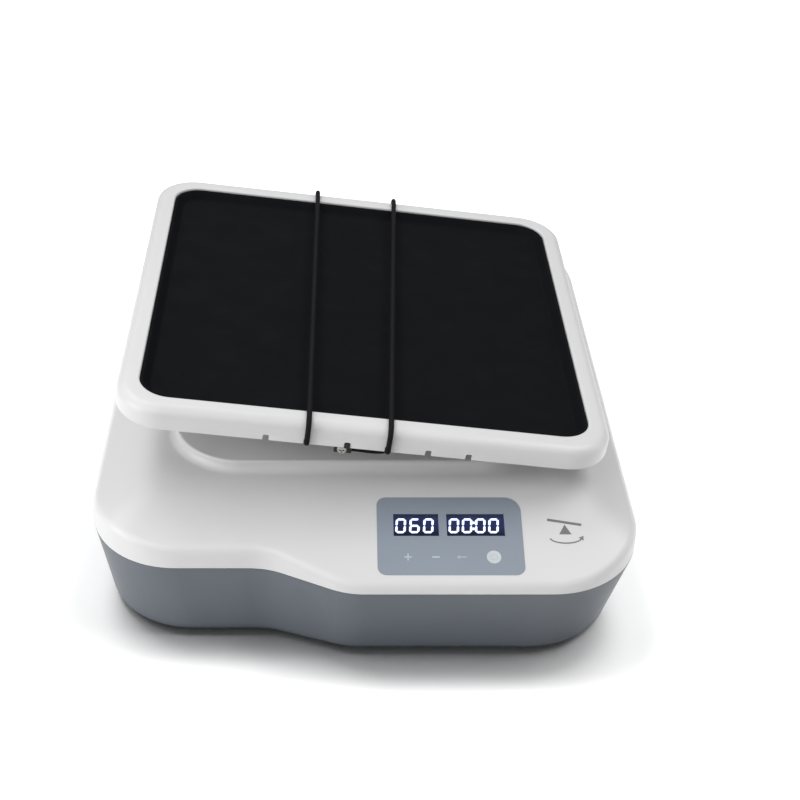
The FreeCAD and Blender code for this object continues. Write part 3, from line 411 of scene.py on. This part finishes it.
def display_lens_look():
    """Dark navy window that glows a little along the row of digits."""
    look = Look("display_lens_finish", (0.006, 0.008, 0.022), 0.18)
    look.paint(look.blotches(30.0, 0.1))
    centre = sum(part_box("speed_display"), Vector()) / 2
    split = look.add("SeparateXYZ")
    look.links.new(look.place, split.inputs["Vector"])
    away = look.math("ABSOLUTE", look.math("SUBTRACT", split.outputs["Y"], centre.y))
    glow = look.remap(away, 2.0 * MM, 6.2 * MM, 1.0, 0.0)
    look.links.new(look.mix(glow, (0.001, 0.002, 0.010), (0.009, 0.015, 0.070)),
                   look.shader.inputs["Emission Color"])
    look.shader.inputs["Emission Strength"].default_value = 1.0
    look.shader.inputs["Coat Weight"].default_value = 0.3
    look.shader.inputs["Coat Roughness"].default_value = 0.1
    return look.material


def lit_digit_look():
    look = Look("lit_digit_finish", (0.5, 0.55, 0.7), 0.4)
    factor = look.remap(look.noise(300.0, 2.0), 0.3, 0.7, 0.0, 1.0)
    look.links.new(look.mix(factor, (0.62, 0.72, 1.0), (0.72, 0.8, 1.0)),
                   look.shader.inputs["Emission Color"])
    look.shader.inputs["Emission Strength"].default_value = 1.15
    return look.material


def printed_look(name, color):
    look = Look(name, color, 0.5)
    look.paint(look.blotches(120.0, 0.06))
    look.bump([(look.noise(2200.0, 2.0), 1.0)], 0.2, 0.00003)
    return look.material


def braided_look():
    """Woven sleeve over elastic: two sets of strands that cross round the cord."""
    look = Look("cord_black_finish", (0.03, 0.031, 0.033), 0.62)
    coordinates = look.add("TexCoord").outputs["UV"]
    split = look.add("SeparateXYZ")
    look.links.new(coordinates, split.inputs["Vector"])
    along = look.math("MULTIPLY", split.outputs["X"], 300.0)
    around = look.math("MULTIPLY", split.outputs["Y"], 6.0)
    strands = []
    for operation in ("ADD", "SUBTRACT"):
        phase = look.math(operation, along, around)
        strands.append(look.math("ABSOLUTE", look.math("SINE", look.math("MULTIPLY", phase, math.pi))))
    weave = look.math("MAXIMUM", *strands)
    fleck = look.remap(look.noise(900.0, 4.0), 0.4, 0.75, 0.0, 1.0)
    # Painted shade: the strands' colour is made darker in the gaps between them, where shade falls; the bump
    # gives the relief.
    body = look.mix(weave, (0.0012, 0.0012, 0.0015), (0.007, 0.0072, 0.008))
    look.paint(look.mix(look.math("MULTIPLY", fleck, 0.2), body, (0.022, 0.022, 0.023)))
    look.bump([(weave, 1.0), (look.noise(3000.0, 2.0), 0.25)], 0.8, 0.0002)
    look.shader.inputs["Specular IOR Level"].default_value = 0.08
    return look.material


FINISHES = {
    "case_white": moulded("case_white_finish", (0.52, 0.52, 0.524), 0.42),
    "case_grey": moulded("case_grey_finish", (0.079, 0.092, 0.108), 0.40, edge=0.12),
    "tray_white": moulded("tray_white_finish", (0.505, 0.505, 0.509), 0.38),
    "mat_rubber": rubber("mat_rubber_finish", (0.0030, 0.0033, 0.0040), 0.78, specular=0.06),
    "foot_rubber": rubber("foot_rubber_finish", (0.02, 0.02, 0.021), 0.7),
    "cord_black": braided_look(),
    "black_plastic": moulded("black_plastic_finish", (0.008, 0.008, 0.009), 0.5, edge=0.03, specular=0.25),
    "panel_film": panel_film_look(),
    "display_lens": display_lens_look(),
    "circuit_board": circuit_board_look(),
    "zinc_steel": metal("zinc_steel_finish", (0.27, 0.268, 0.25), 0.30, (1, 1, 1), 220.0, 0.2),
    "bearing_steel": metal("bearing_steel_finish", (0.58, 0.58, 0.6), 0.22),
    "machined_aluminium": metal("machined_aluminium_finish", (0.72, 0.73, 0.75), 0.3),
    "motor_can": metal("motor_can_finish", (0.16, 0.165, 0.17), 0.42, (1, 1, 8), 60.0),
    "belt_rubber": rubber("belt_rubber_finish", (0.018, 0.018, 0.019), 0.65),
    "pulley_plastic": moulded("pulley_plastic_finish", (0.035, 0.035, 0.037), 0.5, edge=0.06),
    "inner_nylon": moulded("inner_nylon_finish", (0.7, 0.68, 0.61), 0.45),
}
LIT_DIGIT = lit_digit_look()
KEY_PRINT = printed_look("key_print_finish", (0.36, 0.40, 0.44))
MODE_PRINT = printed_look("mode_print_finish", (0.31, 0.36, 0.41))
KEY_DISC_PRINT = printed_look("key_disc_print_finish", (0.43, 0.46, 0.48))
GREY_PRINT = printed_look("grey_print_finish", (0.13, 0.132, 0.138))


def dress(piece, slot, body, material=None):
    """Give a piece its finish, the slot's own unless a material is given, and the body that it rides on."""
    piece.data.materials.clear()
    piece.data.materials.append(material or FINISHES[slot])
    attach(piece, body)
    return piece


# ---- camera -----------------------------------------------------------------------------------
CAMERA_ELEVATION = math.radians(35.0)
CAMERA_PLACE = Vector((-14.4, -749.9, 577.0)) * MM
CAMERA_LENS = 64.3
CAMERA_SHIFT = 0.08


def make_camera():
    data = bpy.data.cameras.new("camera")
    data.lens = CAMERA_LENS
    data.sensor_width = 36.0
    data.shift_x = CAMERA_SHIFT
    data.clip_start = 0.01
    camera = link("camera", data)
    camera.location = CAMERA_PLACE
    camera.rotation_euler = (math.pi / 2 - CAMERA_ELEVATION, 0, 0)
    bpy.context.scene.camera = camera


# ---- elastic cords ----------------------------------------------------------------------------
# Routes in millimetres in the platform's axes, from behind the front skirt to behind the rear one.
LEFT_ROUTE = ((-31.5, -129.7, 8.5), (-31.5, -137.0, 8.2), (-31.5, -137.7, 9.6), (-31.5, -137.6, 21.6),
              (-31.4, -119.6, 21.6), (-29.6, 119.6, 21.6), (-29.5, 137.6, 21.6), (-29.5, 137.7, 9.6),
              (-29.5, 137.0, 8.2), (-29.5, 129.7, 8.5))
RIGHT_ROUTE = ((-6.3, -131.2, 3.7), (3.4, -131.4, 3.3), (10.8, -131.3, 3.9), (12.6, -132.6, 6.4),
               (12.5, -137.2, 7.6), (12.5, -137.7, 10.2), (12.5, -137.6, 21.6),
               (13.2, -119.6, 21.6), (22.3, 119.6, 21.6), (23.0, 137.6, 21.6),
               (23.0, 137.7, 9.6), (23.0, 137.0, 8.2), (23.0, 129.7, 8.5))


def elastic_cord(name, node, route):
    data = bpy.data.curves.new(name, "CURVE")
    data.dimensions = "3D"
    data.bevel_depth = CORD_DIAMETER / 2
    data.bevel_resolution = 6
    data.resolution_u = 24
    data.use_fill_caps = True
    spline = data.splines.new("NURBS")
    spline.points.add(len(route) - 1)
    for point, place in zip(spline.points, route):
        point.co = (*platform_point(*place), 1.0)
    spline.order_u = 3
    spline.use_endpoint_u = True
    piece = link(name, data)
    dress(piece, "cord_black", "platform")
    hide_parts(node)
    return piece


# ---- top cover --------------------------------------------------------------------------------
def soft_min(first, second, reach):
    """The smaller of two heights, rounded where they are less than reach apart."""
    near = max(reach - abs(first - second), 0.0) / reach
    return min(first, second) - near * near * reach / 4


def cover_height(point):
    """Height of the cover's flanks at a plan point."""
    front = FRONT_EDGE_Z + SLOPE_RISE * (point.y - FRONT_Y)
    side = SIDE_EDGE_Z + SIDE_RISE * (SIDE_X - abs(point.x))
    rear = SIDE_EDGE_Z + REAR_RISE * (REAR_Y - point.y)
    flank = soft_min(soft_min(front, side, 7 * MM), rear, 7 * MM)
    return soft_min(flank, FLANK_TOP_Z, 3 * MM)


def cover_rings():
    """Rings from the cover's lower edge, over its flanks and plateau, to the centre opening."""
    rings = []
    for inset, rise in ((0.5, 0.0), (0.15, 0.12), (0.0, 0.5)):
        rings.append([p.to_3d() + Vector((0, 0, JOINT_Z + rise * MM)) for p in case_outline(inset * MM)])
    steps = 8
    for step in range(steps + 1):
        angle = math.pi / 2 * step / steps
        inset = EDGE_ROUND * (1 - math.cos(angle))
        drop = EDGE_ROUND * (1 - math.sin(angle))
        ring = case_outline(inset)
        rings.append([Vector((p.x, p.y, cover_height(p) - drop)) for p in ring])
    outer = case_outline(EDGE_ROUND)
    foot, edge = PLATEAU_FOOT, PLATEAU_EDGE
    inner = [toward_rectangle(p, PLATEAU_HALF, PLATEAU_CORNER, foot) for p in outer]
    flank_steps = 30
    for step in range(1, flank_steps + 1):
        ring = [p.lerp(q, step / flank_steps) for p, q in zip(outer, inner)]
        rings.append([Vector((p.x, p.y, cover_height(p))) for p in ring])
    riser = profile_arc((foot, foot), foot, -90, -180, 9)[1:]
    riser = [(offset, FLANK_TOP_Z + rise) for offset, rise in riser
             if FLANK_TOP_Z + rise < PLATEAU_Z - edge]
    riser += profile_arc((-edge, PLATEAU_Z - edge), edge, 0, 90, 5)
    for offset, height in riser:
        ring = [toward_rectangle(p, PLATEAU_HALF, PLATEAU_CORNER, offset) for p in outer]
        rings.append([Vector((p.x, p.y, height)) for p in ring])
    last = [toward_rectangle(p, PLATEAU_HALF, PLATEAU_CORNER, -edge) for p in outer]
    lip = [p.normalized() * (OPENING_R + OPENING_LIP) for p in outer]
    for step in range(1, 6):
        rings.append([p.lerp(q, step / 5).to_3d() + Vector((0, 0, PLATEAU_Z)) for p, q in zip(last, lip)])
    for offset, height in profile_arc((OPENING_LIP, PLATEAU_Z - OPENING_LIP), OPENING_LIP, 90, 180, 4)[1:]:
        circle_points = [p.normalized() * (OPENING_R + offset) for p in outer]
        rings.append([p.to_3d() + Vector((0, 0, height)) for p in circle_points])
    return rings


def slope_prism(outline, low, high):
    """Closed prism over a (u, v) outline on the front slope, between two outward heights."""
    rings = [[SLOPE @ Vector((u, v, height)) for u, v in outline] for height in (low, high)]
    return skin(rings, True, True)


def joined(meshes):
    whole = bmesh.new()
    for mesh in meshes:
        data = bpy.data.meshes.new("part")
        mesh.to_mesh(data)
        mesh.free()
        whole.from_mesh(data)
        bpy.data.meshes.remove(data)
    return whole


def grown_rectangle(low, high, grow):
    return [(low.x - grow, low.y - grow), (high.x + grow, low.y - grow),
            (high.x + grow, high.y + grow), (low.x - grow, high.y + grow)]


def circle(centre, radius, steps=32):
    return [(centre[0] + radius * math.cos(2 * math.pi * k / steps),
             centre[1] + radius * math.sin(2 * math.pi * k / steps)) for k in range(steps)]


def make_cover():
    cover = finish_mesh("cover_skin", skin(cover_rings()))
    wall = cover.modifiers.new("wall", "SOLIDIFY")
    wall.thickness = COVER_WALL
    wall.offset = -1
    wall.use_even_offset = False
    wall.use_rim = True
    apply_modifiers(cover)
    panel_low, panel_high = local_box("control_overlay", SLOPE)
    gap = 0.15 * MM
    size = (panel_high - panel_low) / 2
    middle = (panel_high + panel_low) / 2
    recess = [(p.x + middle.x, p.y + middle.y)
              for p in rounded_rectangle(size.x + gap, size.y + gap, PANEL_CORNER, 8, 1)]
    tools = [slope_prism(recess, panel_low.z - 0.02 * MM, 6 * MM)]
    for name in ("speed_display", "time_display"):
        low, high = local_box(name, SLOPE)
        tools.append(slope_prism(grown_rectangle(low, high, 0.25 * MM), -9 * MM, 5 * MM))
    spring_low, spring_high = local_box("touch_key_springs", SLOPE)
    radius = (spring_high.y - spring_low.y) / 2
    centre_v = (spring_high.y + spring_low.y) / 2
    for u in KEY_U:
        tools.append(slope_prism(circle((u, centre_v), radius + 0.3 * MM), -9 * MM, 1 * MM))
    subtract(cover, finish_mesh("panel_cutter", joined(tools)))
    even_normals(cover)
    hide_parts("top_cover")
    return dress(cover, "case_white", "case")


# ---- control panel: digits, key marks, motion symbol ------------------------------------------
DIGIT_HALF_WIDTH, DIGIT_HALF_HEIGHT = 2.25 * MM, 4.0 * MM
SEGMENT_HALF = 0.62 * MM
DIGIT_SLANT = 0.07
# Each segment: centre (in half widths and half heights) and whether it lies level.
SEGMENTS = {"a": (0, 1, True), "b": (1, 0.5, False), "c": (1, -0.5, False), "d": (0, -1, True),
            "e": (-1, -0.5, False), "f": (-1, 0.5, False), "g": (0, 0, True)}
LIT = {"0": "abcdef", "6": "acdefg"}


def bar(centre, half_length, half_width, level):
    """Six-cornered bar, pointed at both ends."""
    long_way = Vector((1, 0)) if level else Vector((0, 1))
    across = Vector((-long_way.y, long_way.x))
    shoulder = half_length - half_width
    places = ((shoulder, -1), (half_length, 0), (shoulder, 1),
              (-shoulder, 1), (-half_length, 0), (-shoulder, -1))
    return [tuple(Vector(centre) + long_way * a + across * (b * half_width)) for a, b in places]


def digit_outlines(character, centre):
    outlines = []
    for name in LIT[character]:
        across, up, level = SEGMENTS[name]
        middle = Vector((across * DIGIT_HALF_WIDTH, up * DIGIT_HALF_HEIGHT))
        reach = (DIGIT_HALF_WIDTH if level else DIGIT_HALF_HEIGHT / 2) - 0.12 * MM
        outline = bar(middle, reach, SEGMENT_HALF, level)
        outlines.append([(centre[0] + x + DIGIT_SLANT * y, centre[1] + y) for x, y in outline])
    return outlines


def printed(name, outlines, base, material, slot, height=PRINT_HEIGHT):
    """Thin raised prints on the front slope, one prism for each outline."""
    meshes = [slope_prism(outline, base, base + height) for outline in outlines]
    piece = finish_mesh(name, joined(meshes))
    return dress(piece, slot, "case", material)


def make_digits():
    for name, node, text, pitch, start in (("speed_digits", "speed_display", "060", 7.6, 3.9),
                                           ("time_digits", "time_display", "0000", 7.25, 3.9)):
        low, high = local_box(node, SLOPE)
        v = (low.y + high.y) / 2 - 0.4 * MM
        outlines = []
        for i, character in enumerate(text):
            outlines += digit_outlines(character, (low.x + (start + pitch * i) * MM, v))
        if len(text) == 4:
            u = low.x + (start + pitch * 1.5) * MM
            for rise in (1.9 * MM, -1.9 * MM):
                outlines.append(circle((u + DIGIT_SLANT * rise, v + rise), 0.75 * MM, 16))
        printed(name, outlines, high.z + 0.01 * MM, LIT_DIGIT, "display_lens", 0.1 * MM)


def rectangle_outline(centre, half_u, half_v):
    return [(centre[0] - half_u, centre[1] - half_v), (centre[0] + half_u, centre[1] - half_v),
            (centre[0] + half_u, centre[1] + half_v), (centre[0] - half_u, centre[1] + half_v)]


def arc_band(centre, radii, width, start, end, steps=28):
    """Outline of an elliptical band between two angles in degrees."""
    outline = []
    for grow, order in ((width / 2, 1), (-width / 2, -1)):
        row = []
        for k in range(steps + 1):
            angle = math.radians(start + (end - start) * k / steps)
            row.append((centre[0] + (radii[0] + grow) * math.cos(angle),
                        centre[1] + (radii[1] + grow) * math.sin(angle)))
        outline += row[::order]
    return outline


def arrow_head(centre, radii, angle_deg, size):
    """Triangle on an ellipse that points along it."""
    angle = math.radians(angle_deg)
    tip = Vector((centre[0] + radii[0] * math.cos(angle), centre[1] + radii[1] * math.sin(angle)))
    along = Vector((-radii[0] * math.sin(angle), radii[1] * math.cos(angle))).normalized()
    across = Vector((-along.y, along.x))
    corners = [tip + along * size, tip + across * size * 0.62, tip - across * size * 0.62]
    return [tuple(corner) for corner in corners]


def make_key_marks():
    arm, half = 2.1 * MM, 0.42 * MM
    plus = [(KEY_U[0] + x * MM, KEY_V + y * MM) for x, y in (
        (-0.42, -2.1), (0.42, -2.1), (0.42, -0.42), (2.1, -0.42), (2.1, 0.42), (0.42, 0.42),
        (0.42, 2.1), (-0.42, 2.1), (-0.42, 0.42), (-2.1, 0.42), (-2.1, -0.42), (-0.42, -0.42))]
    minus = rectangle_outline((KEY_U[1], KEY_V), arm, half)
    printed("key_marks", [plus, minus], PANEL_FACE, KEY_PRINT, "panel_film")
    centre = (KEY_U[2], KEY_V)
    mode = [rectangle_outline(centre, arm, half * 0.8),
            [(centre[0] - arm - 1.3 * MM, centre[1]), (centre[0] - arm + 0.2 * MM, centre[1] - 1.2 * MM),
             (centre[0] - arm + 0.2 * MM, centre[1] + 1.2 * MM)]]
    printed("mode_key_mark", mode, PANEL_FACE, MODE_PRINT, "panel_film")
    disc = [circle((KEY_U[3], KEY_V), 3.9 * MM, 48)]
    printed("start_stop_disc", disc, PANEL_FACE, KEY_DISC_PRINT, "panel_film")
    symbol = [arc_band((KEY_U[3], KEY_V), (1.7 * MM, 1.7 * MM), 0.45 * MM, 120, 420),
              rectangle_outline((KEY_U[3], KEY_V + 1.5 * MM), 0.22 * MM, 1.0 * MM)]
    printed("start_stop_symbol", symbol, PANEL_FACE + PRINT_HEIGHT, KEY_PRINT, "panel_film", 0.02 * MM)


def make_motion_symbol():
    """Generic sign for a rocking platform: a tilted plate on a pivot, and a turning arrow."""
    centre = Vector(SYMBOL_CENTRE)
    lean = Matrix.Rotation(math.radians(-10), 2)

    def plate(half_u, half_v, rise):
        corners = rectangle_outline((0, 0), half_u, half_v)
        return [tuple(centre + Vector((0, rise)) + lean @ Vector(corner)) for corner in corners]

    pivot = [tuple(centre + Vector(corner) * MM) for corner in ((-3.4, -1.0), (3.4, -1.0), (0.0, 5.2))]
    sweep = (8.6 * MM, 3.4 * MM)
    below = centre + Vector((0, -3.0 * MM))
    outlines = [plate(9.4 * MM, 0.8 * MM, 6.6 * MM), pivot, arc_band(below, sweep, 0.9 * MM, -172, -14),
                arrow_head(below, sweep, -16, 2.6 * MM)]
    printed("motion_symbol", outlines, 0.0, GREY_PRINT, "case_white")


# ---- platform ---------------------------------------------------------------------------------
def tray_rings(low, high):
    """Rings from the middle of the tray's underside, round its skirt and rim, into the recess."""
    half_x, half_y = high.x, high.y
    floor_under, floor_top = 8.0 * MM, 11.0 * MM
    recess_x, recess_y = MAT_HIGH.x + RECESS_GAP, MAT_HIGH.y + RECESS_GAP
    gap = half_x - recess_x - TRAY_WALL

    def outer(inset, z):
        points = rounded_rectangle(half_x - inset, half_y - inset, TRAY_CORNER - inset)
        return [Vector((p.x, p.y, z)) for p in points]

    def inner(grow, z):
        points = rounded_rectangle(recess_x + grow, recess_y + grow, RECESS_CORNER + grow)
        return [Vector((p.x, p.y, z)) for p in points]

    under = high.z - TRAY_WALL
    rings = [outer(gap + 10 * MM, floor_under), outer(gap + 0.8 * MM, floor_under),
             outer(gap, floor_under + 0.8 * MM), outer(gap, under - 1 * MM), outer(gap - 1 * MM, under),
             outer(TRAY_WALL + 1 * MM, under), outer(TRAY_WALL, under - 1 * MM),
             outer(TRAY_WALL, low.z + 0.4 * MM), outer(TRAY_WALL - 0.4 * MM, low.z),
             outer(0.5 * MM, low.z), outer(0.15 * MM, low.z + 0.15 * MM), outer(0.0, low.z + 0.5 * MM),
             outer(0.0, low.z + 4.5 * MM)]
    for inset, z in profile_arc((RIM_ROUND, high.z - RIM_ROUND), RIM_ROUND, 180, 90, 12):
        rings.append(outer(inset, z))
    edge = 1.0 * MM
    rings.append(outer(RIM_ROUND + 1.5 * MM, high.z))
    rings.append(inner(edge + 1.0 * MM, high.z))
    for grow, z in profile_arc((edge, high.z - edge), edge, 90, 180, 5):
        rings.append(inner(grow, z))
    rings += [inner(0.0, floor_top), inner(-6 * MM, floor_top)]
    return rings


def make_tray():
    low, high = local_box("platform_tray", PLATFORM)
    tray = finish_mesh("tray_skin", skin(tray_rings(low, high), True, True), PLATFORM)
    cuts = []
    for places, side in ((NOTCH_X, -1), (REAR_NOTCH_X, 1)):
        for x in places:
            cuts.append(notch_cutter(x, side, low, high))
    cutter = finish_mesh("notch_cutter", joined(cuts), PLATFORM)
    subtract(tray, cutter)
    even_normals(tray)
    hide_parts("platform_tray")
    return dress(tray, "tray_white", "platform")


def notch_cutter(x, side, low, high):
    """Cord notch: a slot with a rounded top, through the skirt's wall."""
    half, top, corner = NOTCH_HALF_WIDTH, low.z + NOTCH_HEIGHT, 0.9 * MM
    outline = [(x - half, low.z - 1 * MM), (x + half, low.z - 1 * MM)]
    outline += profile_arc((x + half - corner, top - corner), corner, 0, 90, 3)
    outline += profile_arc((x - half + corner, top - corner), corner, 90, 180, 3)
    start = side * (high.y + 1 * MM)
    end = side * (high.y - TRAY_WALL - 1 * MM)
    if side > 0:
        start, end = end, start
    rings = [[Vector((u, y, v)) for u, v in outline] for y in (end, start)]
    return skin(rings, True, True)


def mat_rings():
    low, high = MAT_LOW, MAT_HIGH
    corner = RECESS_CORNER - RECESS_GAP
    floor = low.z + 3.0 * MM

    def ring(inset, z):
        points = rounded_rectangle(high.x - inset, high.y - inset, corner - inset)
        return [Vector((p.x, p.y, z)) for p in points]

    profile = [(8.0 * MM, low.z), (0.3 * MM, low.z), (0.0, low.z + 0.3 * MM), (0.0, high.z - 0.5 * MM)]
    profile += profile_arc((0.5 * MM, high.z - 0.5 * MM), 0.5 * MM, 180, 90, 4)
    profile += [(1.2 * MM, high.z), (1.5 * MM, high.z - 0.1 * MM), (1.8 * MM, high.z - 0.45 * MM)]
    profile += [(4.9 * MM, floor + 0.75 * MM), (5.5 * MM, floor + 0.25 * MM), (6.2 * MM, floor + 0.04 * MM),
                (7.2 * MM, floor), (9.0 * MM, floor)]
    return [ring(inset, z) for inset, z in profile]


def make_mat():
    mat = finish_mesh("mat_skin", skin(mat_rings(), True, True), PLATFORM, math.radians(50))
    even_normals(mat)
    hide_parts("non_slip_mat")
    return dress(mat, "mat_rubber", "platform")


# ---- floor and light --------------------------------------------------------------------------
FLOOR_FADE = (0.55, 1.3)          # the floor turns into the white room over this distance


def make_floor():
    half = 3.0
    mesh = bpy.data.meshes.new("floor")
    mesh.from_pydata([(-half, -half, FLOOR_Z), (half, -half, FLOOR_Z), (half, half, FLOOR_Z),
                      (-half, half, FLOOR_Z)], [], [(0, 1, 2, 3)])
    floor = link("floor", mesh)
    look = Look("pale_floor", (0.93, 0.93, 0.93), 0.8)
    away = look.add("VectorMath", operation="LENGTH")
    look.links.new(look.place, away.inputs[0])
    fade = look.remap(away.outputs["Value"], *FLOOR_FADE, 0.0, 1.0)
    blend = look.add("MixShader")
    look.links.new(fade, blend.inputs["Fac"])
    look.links.new(look.shader.outputs["BSDF"], blend.inputs[1])
    look.links.new(look.add("BsdfTransparent").outputs["BSDF"], blend.inputs[2])
    look.links.new(blend.outputs["Shader"], look.nodes["Material Output"].inputs["Surface"])
    mesh.materials.append(look.material)


def area_light(name, place, target, size, power, color=(1, 1, 1)):
    data = bpy.data.lights.new(name, "AREA")
    data.shape = "RECTANGLE"
    data.size, data.size_y = size
    data.energy = power
    data.color = color
    light = link(name, data)
    light.location = place
    light.rotation_euler = (Vector(target) - Vector(place)).to_track_quat("-Z", "Y").to_euler()
    return light


ROOM_LIGHT = 0.12
# Soft lights round the object: place and sides in metres, power in watts.  The low ones are
# flagged off the floor and the floor has a wash of its own, as in a studio that wants a white
# ground with a close, soft shadow.
HIGH_SOFTBOXES = {
    "rear": ((0.0, 1.0, 1.1), (0.9, 0.7), 3.5),
    "left_high": ((-0.8, 0.0, 1.3), (0.8, 0.8), 4.0),
    "rear_left_high": ((-0.45, 0.55, 1.4), (0.8, 0.8), 7.0),
    "right_high": ((0.8, 0.0, 1.3), (0.8, 0.8), 10.0),
}
LOW_SOFTBOXES = {
    "front_left": ((-0.6, -0.9, 1.15), (0.8, 0.8), 8.0),
    "front_right": ((0.6, -0.85, 1.15), (0.8, 0.8), 2.0),
    "left_low": ((-1.3, -0.65, 0.45), (0.8, 0.8), 15.0),
    "right_low": ((1.4, -0.1, 0.5), (0.8, 0.8), 5.0),
}
FLOOR_WASHES = {
    "wash_left": ((-0.5, 0.35, 1.6), (0.6, 0.6), 14.0),
    "wash_right": ((0.5, 0.35, 1.6), (0.6, 0.6), 14.0),
}


def make_lights():
    for name, (place, size, power) in HIGH_SOFTBOXES.items():
        area_light(name, place, (0, 0, 0.03), size, power)
    for state, lights in (("EXCLUDE", LOW_SOFTBOXES), ("INCLUDE", FLOOR_WASHES)):
        floor_only = bpy.data.collections.new("floor_" + state.lower())
        floor_only.objects.link(bpy.data.objects["floor"])
        floor_only.collection_objects[0].light_linking.link_state = state
        for name, (place, size, power) in lights.items():
            light = area_light(name, place, (0, 0, 0.03), size, power)
            light.light_linking.receiver_collection = floor_only
    world = bpy.data.worlds.new("studio")
    world.use_nodes = True
    nodes, links = world.node_tree.nodes, world.node_tree.links
    seen = nodes.new("ShaderNodeMapRange")      # a white room that gives hardly any light
    seen.inputs["To Min"].default_value = ROOM_LIGHT
    seen.inputs["To Max"].default_value = 1.0
    links.new(nodes.new("ShaderNodeLightPath").outputs["Is Camera Ray"], seen.inputs["Value"])
    links.new(seen.outputs["Result"], nodes["Background"].inputs["Strength"])
    nodes["Background"].inputs["Color"].default_value = (1.0, 1.0, 1.0, 1)
    bpy.context.scene.world = world


# ---- the scene --------------------------------------------------------------------------------
MAT_LOW, MAT_HIGH = local_box("non_slip_mat", PLATFORM)
make_camera()
elastic_cord("braided_cord_left", "elastic_cord_left", LEFT_ROUTE)
elastic_cord("braided_cord_right", "elastic_cord_right", RIGHT_ROUTE)
make_cover()
make_digits()
make_key_marks()
make_motion_symbol()
make_tray()
make_mat()
for node in frame["nodes"].values():
    for material_slot in node.material_slots:
        material_slot.material = FINISHES[material_slot.material.name]
make_floor()
make_lights()
bpy.context.scene.view_settings.view_transform = "Standard"
